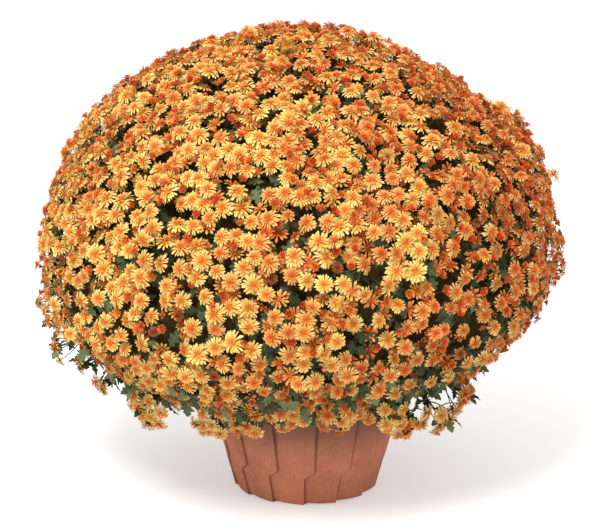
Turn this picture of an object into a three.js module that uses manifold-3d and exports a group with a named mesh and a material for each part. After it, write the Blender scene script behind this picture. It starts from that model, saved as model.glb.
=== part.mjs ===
// Pot chrysanthemum: a cushion of garden-mum flowers in a moulded stave pot.
// Units are millimetres, +Z is up, and the origin is the centre of the pot's underside.
//
// The plant is a crown of woody stems that stands in a plain hole in the soil and carries
// one body of foliage. The flowers grow in sprays that cover the foliage: each spray is one
// closed solid whose upper side is a relief of open blooms and whose lower side narrows to
// the stalk that carries it.

import * as THREE from "three";
import { mergeVertices } from "three/addons/utils/BufferGeometryUtils.js";
import Module from "manifold-3d";

const wasm = await Module();
wasm.setup();

// ---------------------------------------------------------------- driving dimensions

const FIT_GAP = 0.3; // clearance between solids that touch on the real plant

const POT = {
  height: 185,
  baseRadius: 112,
  rimRadius: 162, // outer radius of the wall just under the lip
  lipOut: 5, // how far the rolled lip stands out from the wall
  lipDepth: 16, // height of the rolled lip
  wall: 3.2,
  floor: 4,
  staves: 14,
  staveRelief: 1.4, // one long edge of a stave stands proud by this, the other lies back
  grooveDepth: 2.2,
  grooveWidth: 2.4, // degrees
  grooveTurn: -7, // degrees by which the whole set of grooves is turned about the axis
  jogTop: 60, // height at which the grooves start to step sideways
  jogBottom: 46,
  jogAngle: 7, // degrees that a groove steps sideways
  footSlant: 3, // a stave's foot is cut this much higher at its set-back edge
  footChamfer: 5,
  recessInner: 42, // moulded ring recess of the underside
  recessOuter: 94,
  recessDepth: 1.6,
  drainHoles: 7,
  drainRadius: 6,
  drainSides: 6,
  drainCircle: 68,
};

const CAVITY_SIDES = 28;
const SOIL = { top: 163, crownRise: 7, sides: 14 };

const STEMS = {
  trunkRadius: 11,
  trunkBottom: 96,
  trunkTop: 186,
  branches: 7,
  branchRadius: 4.6,
  branchSides: 5,
  branchSteps: 3,
  trunkSides: 7,
  branchSpread: 96, // distance of a branch's end from the axis
  branchEnd: 268, // height of a branch's end, inside the foliage
};

// The flowering surface is given by its distance from CENTRE in each direction. Its outline
// on either side is a list of radii, from one elevation to the next, and the front and the
// back lie between the two. Lobes swell or dent it.
const CENTRE = new THREE.Vector3(0, 0, 330);
const OUTLINE = {
  firstElevation: -54,
  elevationStep: 12,
  right: [300, 304, 300, 320, 366, 396, 405, 410, 398, 386, 389, 396, 399],
  left: [290, 316, 340, 386, 411, 418, 418, 417, 414, 410, 404, 398, 399],
};
const LOBES = [
  { azimuth: 2, elevation: 31, rise: 12, spread: 9 },
  { azimuth: -92, elevation: 18, rise: 9, spread: 16 },
  { azimuth: -62, elevation: 48, rise: -6, spread: 11 },
  { azimuth: -124, elevation: 50, rise: 7, spread: 13 },
  { azimuth: -112, elevation: -14, rise: 8, spread: 12 },
  { azimuth: -48, elevation: -10, rise: 9, spread: 11 },
  { azimuth: 60, elevation: 30, rise: 9, spread: 15 },
  { azimuth: 122, elevation: 12, rise: 10, spread: 15 },
  { azimuth: 90, elevation: -14, rise: 8, spread: 13 },
];

const SPRAY_RINGS = [
  { elevation: 90, count: 1 },
  { elevation: 62, count: 6 },
  { elevation: 34, count: 11 },
  { elevation: 6, count: 13 },
  { elevation: -22, count: 11 },
];
const SPRAY = { jitter: 2.2, stalkDepth: 62, clearance: 2 };
const BLOOM = {
  spacing: 75,
  radius: 36,
  share: 4500, // surface that one bloom takes up, in square millimetres
  petals: 7,
  valley: 0.66, // notch between two petals, as a share of the bloom's radius
  reaches: [1.42, 1.32, 1.22, 1.12], // how far a petal grows where it faces open ground
  apart: 3, // what such a petal leaves free before the next bloom
  tipDrop: 4,
  valleyDrop: 17,
  tilt: 0.07,
  edgeDrop: 13, // the outermost petals of a spray hang lower by this
  outlineStep: 11,
};

// How the blooms of a spray find their places.
const PLACING = {
  samples: 900, // points tried to measure a spray's share of the surface
  reach: 190, // millimetres from the spray's middle that they are tried in
  rounds: 240,
  push: 0.3,
  neighbours: 60, // degrees within which other sprays count
  fewest: 4,
  leastTurn: 0.6, // degrees by which each corner of an outline goes on round the middle
};

// The leafy skirt below the sprays, and the rings of the foliage's underside over the rim.
const SKIRT = {
  ringElevation: -50, // the sprays end halfway to this ring of directions
  ringCount: 10,
  edgeElevation: -45,
  columns: 14,
  depth: 34,
};
const UNDERSIDE = [
  { radius: 188, height: 146 },
  { radius: 184, height: 206 },
  { radius: 148, height: 224 },
];
const LEAF = {
  thickness: 1.2,
  root: 9, // length of a leaf's foot inside the foliage
  arch: 0.2,
  tipDepth: 4, // a leaf between sprays ends this far under the flowering surface
  lean: { least: 18, range: 20 }, // degrees from the outward direction
  skirtLength: 74,
  skirtLean: { least: 42, range: 26 },
  attempts: 16,
};
// Half of a lobed leaf from base to tip: [share of the length, half width as a share of it].
const LEAF_OUTLINE = [
  [0.0, 0.0],
  [0.36, 0.36],
  [0.52, 0.17],
  [0.76, 0.33],
  [1.0, 0.0],
];

const COLOURS = {
  pot: 0xa5644d,
  soil: 0x3b2a1f,
  stems: 0x6a6136,
  foliage: 0x3c5a2b,
  yellow: 0xe9a13f,
  orange: 0xd4722c,
};

const DEGREE = Math.PI / 180;
const GOLDEN_ANGLE = Math.PI * (3 - Math.sqrt(5));

// ---------------------------------------------------------------- small helpers

function seededRandom(seed) {
  let state = seed >>> 0;
  return () => {
    state = (state + 0x6d2b79f5) >>> 0;
    let mixed = Math.imul(state ^ (state >>> 15), 1 | state);
    mixed = (mixed + Math.imul(mixed ^ (mixed >>> 7), 61 | mixed)) ^ mixed;
    return ((mixed ^ (mixed >>> 14)) >>> 0) / 4294967296;
  };
}

function directionOf(azimuth, elevation) {
  const flat = Math.cos(elevation * DEGREE);
  return new THREE.Vector3(
    flat * Math.cos(azimuth * DEGREE),
    flat * Math.sin(azimuth * DEGREE),
    Math.sin(elevation * DEGREE),
  );
}

function geometryFrom(vertices, triangles) {
  const geometry = new THREE.BufferGeometry();
  const flat = vertices.flatMap((vertex) => vertex.toArray());
  geometry.setAttribute("position", new THREE.Float32BufferAttribute(flat, 3));
  geometry.setIndex(triangles.flat());
  return geometry;
}

function solidFrom(geometry) {
  const bare = geometry.clone();
  bare.deleteAttribute("normal");
  bare.deleteAttribute("uv");
  const merged = mergeVertices(bare, 1e-4);
  return new wasm.Manifold(
    new wasm.Mesh({
      numProp: 3,
      vertProperties: new Float32Array(merged.attributes.position.array),
      triVerts: new Uint32Array(merged.index.array),
    }),
  );
}

function geometryOf(solid) {
  const mesh = solid.getMesh();
  const geometry = new THREE.BufferGeometry();
  geometry.setAttribute("position", new THREE.BufferAttribute(mesh.vertProperties, 3));
  geometry.setIndex(new THREE.BufferAttribute(mesh.triVerts, 1));
  return geometry;
}

function named(name, geometry, colour, roughness) {
  geometry.computeVertexNormals();
  const material = new THREE.MeshStandardMaterial({ color: colour, roughness, metalness: 0 });
  const mesh = new THREE.Mesh(geometry, material);
  mesh.name = name;
  return mesh;
}

// A solid turned about Z from a list of [radius, height] points that begins and ends on the axis.
function turned(profile, sides) {
  const points = profile.map(([radius, height]) => new THREE.Vector2(radius, height));
  return new THREE.LatheGeometry(points, sides).rotateX(Math.PI / 2);
}

// Planar Delaunay triangulation, by adding one point at a time. Triangles run anticlockwise.
function delaunay(points) {
  const far = 1e3 * Math.max(...points.map(([x, y]) => Math.hypot(x, y)));
  const all = [...points, [-far, -far], [far, -far], [0, far]];
  const inCircle = ([a, b, c], [px, py]) => {
    const [ax, ay] = [all[a][0] - px, all[a][1] - py];
    const [bx, by] = [all[b][0] - px, all[b][1] - py];
    const [cx, cy] = [all[c][0] - px, all[c][1] - py];
    const a2 = ax * ax + ay * ay;
    const b2 = bx * bx + by * by;
    const c2 = cx * cx + cy * cy;
    return a2 * (bx * cy - cx * by) - b2 * (ax * cy - cx * ay) + c2 * (ax * by - bx * ay) > 0;
  };
  let triangles = [[points.length, points.length + 1, points.length + 2]];
  points.forEach((point, index) => {
    const rim = new Map();
    triangles = triangles.filter((triangle) => {
      if (!inCircle(triangle, point)) return true;
      triangle.forEach((from, corner) => {
        const to = triangle[(corner + 1) % 3];
        if (!rim.delete(`${to} ${from}`)) rim.set(`${from} ${to}`, [from, to]);
      });
      return false;
    });
    for (const [from, to] of rim.values()) triangles.push([from, to, index]);
  });
  return triangles.filter((triangle) => triangle.every((corner) => corner < points.length));
}

// ---------------------------------------------------------------- the flowering surface

function outlineRadius(side, elevation) {
  const last = side.length - 1;
  const place = (elevation - OUTLINE.firstElevation) / OUTLINE.elevationStep;
  const step = THREE.MathUtils.clamp(Math.floor(place), 0, last - 1);
  return THREE.MathUtils.lerp(side[step], side[step + 1], THREE.MathUtils.clamp(place - step, 0, 1));
}

function domeRadius(direction) {
  const azimuth = Math.atan2(direction.y, direction.x);
  const elevation = Math.asin(THREE.MathUtils.clamp(direction.z, -1, 1)) / DEGREE;
  const [left, right] = [OUTLINE.left, OUTLINE.right].map((side) => outlineRadius(side, elevation));
  let radius = THREE.MathUtils.lerp(left, right, 0.5 + 0.5 * Math.cos(azimuth));
  for (const lobe of LOBES) {
    const away = direction.angleTo(directionOf(lobe.azimuth, lobe.elevation)) / DEGREE;
    radius += lobe.rise * Math.exp(-((away / lobe.spread) ** 2));
  }
  return radius;
}

function onDome(direction, depth) {
  return direction.clone().multiplyScalar(domeRadius(direction) - depth).add(CENTRE);
}

// ---------------------------------------------------------------- pot

// Sideways shift of the stave grooves at a height: they step over between two levels.
function grooveShift(height) {
  return -POT.jogAngle * (1 - THREE.MathUtils.smoothstep(height, POT.jogBottom, POT.jogTop));
}

function potWallRadius(height) {
  return THREE.MathUtils.mapLinear(height, 0, POT.height, POT.baseRadius, POT.rimRadius);
}

// Columns across one stave as [share of the stave's width, relief from the plain wall].
function staveColumns() {
  const groove = POT.grooveWidth / (360 / POT.staves);
  return [
    [0, -POT.grooveDepth],
    [groove, -POT.staveRelief],
    [0.5, 0.3 * POT.staveRelief],
    [1 - 0.4 * groove, POT.staveRelief],
  ];
}

function potOutside() {
  const lipFoot = POT.height - POT.lipDepth;
  const rows = [
    { height: 0, inset: POT.footChamfer, relief: 0 },
    { height: 0, inset: 0, relief: 1, slant: POT.footSlant },
    { height: POT.jogBottom, inset: 0, relief: 1 },
    { height: POT.jogTop, inset: 0, relief: 1 },
    { height: lipFoot - 10, inset: 0, relief: 1 },
    { height: lipFoot, inset: -POT.lipOut, relief: 0 },
    { height: POT.height - 3, inset: -POT.lipOut, relief: 0 },
    { height: POT.height, inset: 3 - POT.lipOut, relief: 0 },
  ];
  const columns = staveColumns();
  const pitch = 360 / POT.staves;
  const vertices = [];
  for (const row of rows) {
    for (let stave = 0; stave < POT.staves; stave += 1) {
      for (const [share, relief] of columns) {
        const turn = POT.grooveTurn + grooveShift(row.height);
        const angle = ((stave + share) * pitch + turn) * DEGREE;
        const radius = potWallRadius(row.height) - row.inset + relief * row.relief;
        const height = row.height + (row.slant ?? 0) * (1 - share);
        vertices.push(new THREE.Vector3(radius * Math.cos(angle), radius * Math.sin(angle), height));
      }
    }
  }
  const around = POT.staves * columns.length;
  const triangles = [];
  for (let row = 0; row < rows.length - 1; row += 1) {
    for (let column = 0; column < around; column += 1) {
      const here = row * around + column;
      const next = row * around + ((column + 1) % around);
      triangles.push([here, next, next + around], [here, next + around, here + around]);
    }
  }
  const bottom = vertices.push(new THREE.Vector3(0, 0, 0)) - 1;
  const top = vertices.push(new THREE.Vector3(0, 0, POT.height)) - 1;
  const lastRow = (rows.length - 1) * around;
  for (let column = 0; column < around; column += 1) {
    const next = (column + 1) % around;
    triangles.push([bottom, next, column], [top, lastRow + column, lastRow + next]);
  }
  return solidFrom(geometryFrom(vertices, triangles));
}

function potCavityRadius(height) {
  return potWallRadius(height) - POT.wall - POT.grooveDepth;
}

function pot() {
  const cavity = turned(
    [
      [0, POT.floor],
      [potCavityRadius(POT.floor) - 8, POT.floor],
      [potCavityRadius(POT.floor + 8), POT.floor + 8],
      [potCavityRadius(POT.height + 5), POT.height + 5],
      [0, POT.height + 5],
    ],
    CAVITY_SIDES,
  );
  const recess = turned(
    [
      [POT.recessInner, -5],
      [POT.recessOuter, -5],
      [POT.recessOuter, POT.recessDepth],
      [POT.recessInner, POT.recessDepth],
      [POT.recessInner, -5],
    ],
    CAVITY_SIDES,
  );
  let solid = potOutside().subtract(solidFrom(cavity)).subtract(solidFrom(recess));
  for (let hole = 0; hole < POT.drainHoles; hole += 1) {
    const angle = ((hole + 0.5) / POT.drainHoles) * 2 * Math.PI;
    const size = [POT.drainRadius, POT.drainRadius, 4 * POT.floor, POT.drainSides];
    const drill = new THREE.CylinderGeometry(...size);
    drill.rotateX(Math.PI / 2);
    drill.translate(POT.drainCircle * Math.cos(angle), POT.drainCircle * Math.sin(angle), 0);
    solid = solid.subtract(solidFrom(drill));
  }
  return named("pot", geometryOf(solid), COLOURS.pot, 0.6);
}

// ---------------------------------------------------------------- crown of stems and soil

// The woody crown, grown by a margin all over where it cuts its own hole.
function crown(margin) {
  const trunk = turned(
    [
      [0, STEMS.trunkBottom - margin],
      [STEMS.trunkRadius - 3 + margin, STEMS.trunkBottom - margin],
      [STEMS.trunkRadius + margin, SOIL.top - 20],
      [STEMS.trunkRadius - 1 + margin, STEMS.trunkTop + margin],
      [0, STEMS.trunkTop + 5 + margin],
    ],
    STEMS.trunkSides,
  );
  const radius = STEMS.branchRadius + margin;
  const section = new THREE.Shape();
  for (let side = 0; side < STEMS.branchSides; side += 1) {
    const angle = (side / STEMS.branchSides) * 2 * Math.PI;
    const point = [radius * Math.cos(angle), radius * Math.sin(angle)];
    if (side === 0) section.moveTo(...point);
    else section.lineTo(...point);
  }
  section.closePath();
  let solid = solidFrom(trunk);
  for (let branch = 0; branch < STEMS.branches; branch += 1) {
    const angle = ((branch + 0.3) / STEMS.branches) * 2 * Math.PI;
    const outward = new THREE.Vector3(Math.cos(angle), Math.sin(angle), 0);
    const end = outward.clone().multiplyScalar(STEMS.branchSpread * (branch % 2 ? 1 : 0.72));
    end.z = STEMS.branchEnd + margin;
    const start = outward.clone().multiplyScalar(3).setZ(STEMS.trunkTop - 22);
    const bend = outward.clone().multiplyScalar(14).setZ(STEMS.trunkTop + 6);
    const path = new THREE.QuadraticBezierCurve3(start, bend, end);
    const tube = new THREE.ExtrudeGeometry(section, {
      steps: STEMS.branchSteps,
      bevelEnabled: false,
      extrudePath: path,
    });
    solid = solid.add(solidFrom(tube));
  }
  return solid;
}

function stems() {
  return named("stems", geometryOf(crown(0)), COLOURS.stems, 0.85);
}

function soil() {
  const wallRadius = (height) => potCavityRadius(height) * Math.cos(Math.PI / SOIL.sides) - FIT_GAP;
  const lump = turned(
    [
      [0, POT.floor + FIT_GAP],
      [wallRadius(POT.floor) - 9, POT.floor + FIT_GAP],
      [wallRadius(POT.floor + 8), POT.floor + 8 + FIT_GAP],
      [wallRadius(SOIL.top) - 1, SOIL.top],
      [wallRadius(SOIL.top) * 0.45, SOIL.top + SOIL.crownRise],
      [0, SOIL.top + SOIL.crownRise],
    ],
    SOIL.sides,
  );
  const solid = solidFrom(lump).subtract(crown(FIT_GAP));
  return named("soil", geometryOf(solid), COLOURS.soil, 1);
}

// ---------------------------------------------------------------- sprays of blooms

function spraySeeds() {
  const random = seededRandom(11);
  const seeds = [];
  SPRAY_RINGS.forEach(({ elevation, count }, ring) => {
    for (let place = 0; place < count; place += 1) {
      const wander = elevation === 90 ? 0 : SPRAY.jitter;
      const azimuth = ((place + 0.5 * (ring % 2)) / count) * 360 + 17 * ring;
      const sway = (random() - 0.5) * 2 * wander;
      const lift = (random() - 0.5) * 2 * wander;
      const widened = sway / Math.max(0.3, Math.cos(elevation * DEGREE));
      seeds.push(directionOf(azimuth + widened, Math.min(90, elevation + lift)));
    }
  });
  return seeds;
}

// Directions just under the flowers, where the skirt is only leaves.
function skirtSeeds() {
  return Array.from({ length: SKIRT.ringCount }, (_, place) =>
    directionOf(((place + 0.25) / SKIRT.ringCount) * 360, SKIRT.ringElevation),
  );
}

// The plane that touches the unit sphere at a seed, with a way to and from it.
function tangentFrame(seed) {
  const east = new THREE.Vector3(0, 0, 1).cross(seed);
  if (east.lengthSq() < 1e-6) east.set(1, 0, 0);
  east.normalize();
  const north = seed.clone().cross(east);
  return {
    direction: (x, y) => seed.clone().addScaledVector(east, x).addScaledVector(north, y).normalize(),
    slopes: (vector) => [vector.dot(east), vector.dot(north)],
  };
}

// Where the blooms of one spray sit, in millimetres across the tangent plane of its seed.
// They push each other apart and keep off the planes halfway to the neighbouring sprays.
function bloomPlaces(seed, others, random) {
  const scale = domeRadius(seed);
  const frame = tangentFrame(seed);
  const walls = others
    .filter((other) => other.angleTo(seed) < PLACING.neighbours * DEGREE)
    .map((other) => {
      const towards = seed.clone().sub(other);
      const [a, b] = frame.slopes(towards);
      const size = Math.hypot(a, b);
      return { a: a / size, b: b / size, offset: (seed.dot(towards) / size) * scale };
    });
  const wallDistance = (wall, [x, y]) => wall.offset + wall.a * x + wall.b * y;
  const width = 2 * PLACING.reach;
  let inside = 0;
  for (let sample = 0; sample < PLACING.samples; sample += 1) {
    const point = [(random() - 0.5) * width, (random() - 0.5) * width];
    if (walls.every((wall) => wallDistance(wall, point) > 0)) inside += 1;
  }
  const area = (inside / PLACING.samples) * width ** 2;
  const count = Math.max(PLACING.fewest, Math.round(area / BLOOM.share));
  const places = Array.from({ length: count }, (_, index) => {
    const turn = index * GOLDEN_ANGLE + random();
    const out = 0.45 * BLOOM.spacing * Math.sqrt(index);
    return [out * Math.cos(turn), out * Math.sin(turn)];
  });
  const keepOff = BLOOM.radius + SPRAY.clearance;
  for (let round = 0; round < PLACING.rounds; round += 1) {
    places.forEach((place, index) => {
      places.forEach((other, otherIndex) => {
        const apart = [place[0] - other[0], place[1] - other[1]];
        const distance = Math.hypot(...apart) || 1;
        if (otherIndex === index || distance > BLOOM.spacing) return;
        const push = (PLACING.push * (BLOOM.spacing - distance)) / distance;
        place[0] += apart[0] * push;
        place[1] += apart[1] * push;
      });
      for (const wall of walls) {
        const short = keepOff - wallDistance(wall, place);
        if (short > 0) {
          place[0] += wall.a * short;
          place[1] += wall.b * short;
        }
      }
    });
  }
  const blooms = places.map((place) => {
    const near = places
      .filter((other) => other !== place)
      .map((other) => 0.5 * Math.hypot(place[0] - other[0], place[1] - other[1]));
    const off = walls.map((wall) => wallDistance(wall, place) - SPRAY.clearance);
    return { x: place[0], y: place[1], radius: Math.min(BLOOM.radius, ...near, ...off) };
  });
  for (const bloom of blooms) {
    bloom.isFree = (x, y) =>
      walls.every((wall) => wallDistance(wall, [x, y]) > SPRAY.clearance) &&
      blooms.every((other) => {
        const distance = Math.hypot(x - other.x, y - other.y);
        return other === bloom || distance > other.radius + BLOOM.apart;
      });
  }
  return blooms;
}

// The vertices of one bloom's relief: the middle of its disc, petal tips and notches.
function bloomRelief({ x, y, radius, isFree }, random) {
  const yaw = random() * 2 * Math.PI;
  const lean = [(random() - 0.5) * 2 * BLOOM.tilt, (random() - 0.5) * 2 * BLOOM.tilt];
  const points = [{ x, y, depth: 0 }];
  for (let corner = 0; corner < 2 * BLOOM.petals; corner += 1) {
    const tip = corner % 2 === 0;
    const angle = yaw + (corner / BLOOM.petals) * Math.PI;
    const [cos, sin] = [Math.cos(angle), Math.sin(angle)];
    const longer = BLOOM.reaches.find((reach) => isFree(x + reach * radius * cos, y + reach * radius * sin));
    const out = radius * (tip ? (longer ?? 1) : BLOOM.valley);
    const [dx, dy] = [out * cos, out * sin];
    const drop = tip ? BLOOM.tipDrop : BLOOM.valleyDrop;
    points.push({ x: x + dx, y: y + dy, depth: drop + lean[0] * dx + lean[1] * dy });
  }
  return points;
}

// Makes each petal a ridge: where the triangulation joins the two notches beside a petal's
// tip, it is turned to join the middle of the bloom to the tip.
function ridged(triangles) {
  const keyOf = (corners) => [...corners].sort((a, b) => a - b).join(" ");
  const byKey = new Map(triangles.map((triangle) => [keyOf(triangle), triangle]));
  const ring = 2 * BLOOM.petals;
  const middles = new Set(triangles.flat().filter((corner) => corner % (ring + 1) === 0));
  for (const middle of middles) {
    for (let corner = 0; corner < ring; corner += 2) {
      const before = middle + 1 + ((corner + ring - 1) % ring);
      const tip = middle + 1 + corner;
      const after = middle + 2 + corner;
      const inner = keyOf([middle, before, after]);
      const outer = keyOf([before, tip, after]);
      if (!byKey.has(inner) || !byKey.has(outer)) continue;
      byKey.delete(inner);
      byKey.delete(outer);
      byKey.set(keyOf([middle, before, tip]), [middle, before, tip]);
      byKey.set(keyOf([middle, tip, after]), [middle, tip, after]);
    }
  }
  return [...byKey.values()];
}

// Wears a triangulated patch away from its edge: an edge triangle goes where its outer side
// is longer than the limit, as long as the outline stays one loop that runs round the middle.
function trimmed(points, triangles, limit) {
  const polar = points.map(({ x, y }) => Math.atan2(y, x));
  const between = (from, to) => THREE.MathUtils.euclideanModulo(polar[to] - polar[from], 2 * Math.PI);
  const bySide = new Map();
  const add = (triangle) => {
    triangle.forEach((from, corner) => {
      bySide.set(`${from} ${triangle[(corner + 1) % 3]}`, triangle);
    });
  };
  triangles.forEach(add);
  const kept = new Set(triangles);
  const edge = new Map();
  for (const triangle of triangles) {
    triangle.forEach((from, corner) => {
      const to = triangle[(corner + 1) % 3];
      if (!bySide.has(`${to} ${from}`)) edge.set(from, to);
    });
  }
  const least = PLACING.leastTurn * DEGREE;
  for (let changed = true; changed; ) {
    changed = false;
    for (const [from, to] of [...edge]) {
      const triangle = bySide.get(`${from} ${to}`);
      const third = triangle.find((corner) => corner !== from && corner !== to);
      const length = Math.hypot(points[from].x - points[to].x, points[from].y - points[to].y);
      const turn = between(from, third);
      const rest = between(third, to);
      const runsRound = turn > least && rest > least && turn + rest < Math.PI;
      if (length < limit || edge.has(third) || !runsRound) continue;
      kept.delete(triangle);
      edge.set(from, third);
      edge.set(third, to);
      changed = true;
    }
  }
  return { triangles: [...kept], edge };
}

function sprayGeometry(seed, others, random) {
  const frame = tangentFrame(seed);
  const scale = domeRadius(seed);
  const points = bloomPlaces(seed, others, random).flatMap((bloom) => bloomRelief(bloom, random));
  const flat = points.map(({ x, y }) => [x, y]);
  const { triangles, edge } = trimmed(points, ridged(delaunay(flat)), BLOOM.outlineStep);
  const vertices = points.map(({ x, y, depth }, index) => {
    const hang = edge.has(index) ? BLOOM.edgeDrop : 0;
    return onDome(frame.direction(x / scale, y / scale), depth + hang);
  });
  const stalk = vertices.push(onDome(seed, SPRAY.stalkDepth)) - 1;
  for (const [from, to] of edge) triangles.push([to, from, stalk]);
  return geometryFrom(vertices, triangles);
}

// ---------------------------------------------------------------- foliage

// The leafy body under the sprays: it has a corner under each spray's stalk, an edge along
// the skirt, and an underside that passes over the pot's rim.
function foliageCore(seeds) {
  const directions = [...seeds];
  for (let column = 0; column < SKIRT.columns; column += 1) {
    directions.push(directionOf((column / SKIRT.columns) * 360, SKIRT.edgeElevation));
  }
  const flat = directions.map(({ x, y, z }) => [x / (1 + z), y / (1 + z)]);
  const triangles = delaunay(flat);
  const vertices = directions.map((direction, index) =>
    onDome(direction, index < seeds.length ? SPRAY.stalkDepth + FIT_GAP : SKIRT.depth),
  );
  const leafy = [...triangles];
  let above = seeds.length;
  for (const ring of UNDERSIDE) {
    const below = vertices.length;
    for (let column = 0; column < SKIRT.columns; column += 1) {
      const angle = (column / SKIRT.columns) * 2 * Math.PI;
      const point = [ring.radius * Math.cos(angle), ring.radius * Math.sin(angle), ring.height];
      vertices.push(new THREE.Vector3(...point));
    }
    for (let column = 0; column < SKIRT.columns; column += 1) {
      const next = (column + 1) % SKIRT.columns;
      triangles.push([above + column, below + column, below + next]);
      triangles.push([above + column, below + next, above + next]);
    }
    above = below;
  }
  const middle = vertices.push(new THREE.Vector3(0, 0, UNDERSIDE.at(-1).height)) - 1;
  for (let column = 0; column < SKIRT.columns; column += 1) {
    triangles.push([above + column, middle, above + ((column + 1) % SKIRT.columns)]);
  }
  return { solid: solidFrom(geometryFrom(vertices, triangles)), vertices, leafy };
}

// One lobed leaf: its base at the origin, its blade along +X, its upper face towards +Z,
// arched along its length.
function leafGeometry(length) {
  const left = LEAF_OUTLINE.map(([along, across]) => [along * length, across * length]);
  const right = left.slice(0, -1).reverse().map(([along, across]) => [along, -across]);
  const outline = [...left, ...right];
  const faces = THREE.ShapeUtils.triangulateShape(outline.map((point) => new THREE.Vector2(...point)), []);
  const count = outline.length;
  const vertices = [];
  for (const side of [0.5, -0.5]) {
    for (const [along, across] of outline) {
      const sag = LEAF.arch * length * (along / length) ** 2;
      vertices.push(new THREE.Vector3(along, across, side * LEAF.thickness - sag));
    }
  }
  const clockwise = THREE.ShapeUtils.isClockWise(outline.map((point) => new THREE.Vector2(...point)));
  const triangles = [];
  for (const [a, b, c] of faces) {
    triangles.push([a, b, c], [a + count, c + count, b + count]);
  }
  for (let corner = 0; corner < count; corner += 1) {
    const next = (corner + 1) % count;
    if (clockwise) triangles.push([corner, next, next + count], [corner, next + count, corner + count]);
    else triangles.push([corner, next + count, next], [corner, corner + count, next + count]);
  }
  return geometryFrom(vertices, triangles);
}

// A leaf set on the core: it grows outward, leans over towards one side of its root and
// shows its upper face outward.
function placedLeaf(root, outward, towards, lean, length) {
  const over = towards.clone().addScaledVector(outward, -towards.dot(outward)).normalize();
  const [sine, cosine] = [Math.sin(lean * DEGREE), Math.cos(lean * DEGREE)];
  const along = outward.clone().multiplyScalar(cosine).addScaledVector(over, sine);
  const face = outward.clone().multiplyScalar(sine).addScaledVector(over, -cosine);
  const basis = new THREE.Matrix4().makeBasis(along, face.clone().cross(along), face);
  basis.setPosition(root.clone().addScaledVector(along, -LEAF.root));
  return leafGeometry(length + LEAF.root).applyMatrix4(basis);
}

function foliage(seeds, sprays) {
  const random = seededRandom(29);
  const core = foliageCore(seeds);
  let solid = core.solid;
  for (const triangle of core.leafy) {
    const corners = triangle.map((corner) => core.vertices[corner]);
    const root = corners[0].clone().add(corners[1]).add(corners[2]).divideScalar(3);
    const outward = root.clone().sub(CENTRE).normalize();
    const hangs = triangle.filter((corner) => corner >= seeds.length).length > 1;
    const depth = domeRadius(outward) - root.distanceTo(CENTRE);
    const near = triangle.filter((corner) => corner < sprays.length).map((corner) => sprays[corner]);
    for (let attempt = 0; attempt < LEAF.attempts; attempt += 1) {
      const { least, range } = hangs ? LEAF.skirtLean : LEAF.lean;
      const wander = directionOf(360 * random(), 180 * random() - 90);
      const towards = hangs ? wander.multiplyScalar(0.5).setZ(-1) : wander;
      const shrink = 1 - attempt / (2 * LEAF.attempts);
      const length = (hangs ? LEAF.skirtLength : 1.15 * (depth - LEAF.tipDepth)) * shrink;
      const placed = placedLeaf(root, outward, towards, least + range * random(), length);
      const leaf = solidFrom(placed);
      if (!near.every((spray) => leaf.intersect(spray).isEmpty())) continue;
      solid = solid.add(leaf);
      break;
    }
  }
  return named("foliage", geometryOf(solid.subtract(crown(FIT_GAP))), COLOURS.foliage, 0.8);
}

// ---------------------------------------------------------------- the plant in its pot

const plant = new THREE.Group();
plant.add(pot(), soil(), stems());

const flowering = spraySeeds();
const seeds = [...flowering, ...skirtSeeds()];
const bloomRandom = seededRandom(5);
const spraySolids = [];
flowering.forEach((seed, index) => {
  const others = seeds.filter((other) => other !== seed);
  const geometry = sprayGeometry(seed, others, bloomRandom);
  spraySolids.push(solidFrom(geometry));
  const name = `spray_${String(index + 1).padStart(2, "0")}`;
  const colour = index % 3 === 1 ? COLOURS.orange : COLOURS.yellow;
  plant.add(named(name, geometry, colour, 0.75));
});
plant.add(foliage(flowering, spraySolids));

export default plant;
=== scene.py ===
"""A pot chrysanthemum: a cushion of bronze daisies over dark lobed leaves, in a stave pot.

Lengths are metres, +Z is up and the origin is the centre of the pot's underside. Blooms,
buds and leaves are small patterns, drawn once in a few forms and then copied over the
flowering surface into one mesh for each zone of the plant. In the functions, at is an
array of directions: unit vectors from the plant's centre to places on that surface.
"""
import math
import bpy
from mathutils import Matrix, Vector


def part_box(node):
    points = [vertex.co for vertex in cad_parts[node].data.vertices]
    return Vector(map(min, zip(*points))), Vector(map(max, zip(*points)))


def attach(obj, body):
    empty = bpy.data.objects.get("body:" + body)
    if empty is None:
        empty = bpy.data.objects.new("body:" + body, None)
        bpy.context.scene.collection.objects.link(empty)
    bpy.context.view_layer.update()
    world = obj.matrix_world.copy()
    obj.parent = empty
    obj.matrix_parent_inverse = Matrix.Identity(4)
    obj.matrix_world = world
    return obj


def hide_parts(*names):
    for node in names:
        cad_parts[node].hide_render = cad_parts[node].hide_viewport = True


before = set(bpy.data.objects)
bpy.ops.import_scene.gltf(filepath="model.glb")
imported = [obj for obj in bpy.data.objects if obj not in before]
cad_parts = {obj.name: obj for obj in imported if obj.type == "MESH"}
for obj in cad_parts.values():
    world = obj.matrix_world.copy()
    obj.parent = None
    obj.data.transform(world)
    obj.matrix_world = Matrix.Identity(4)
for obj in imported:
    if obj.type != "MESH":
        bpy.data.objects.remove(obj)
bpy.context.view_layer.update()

from types import SimpleNamespace

import bpy
import numpy as np
from mathutils import Matrix, Vector

BODY = "root"
TURN = 2 * math.pi
UP = np.array([0.0, 0.0, 1.0])

# ---- the plant

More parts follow.
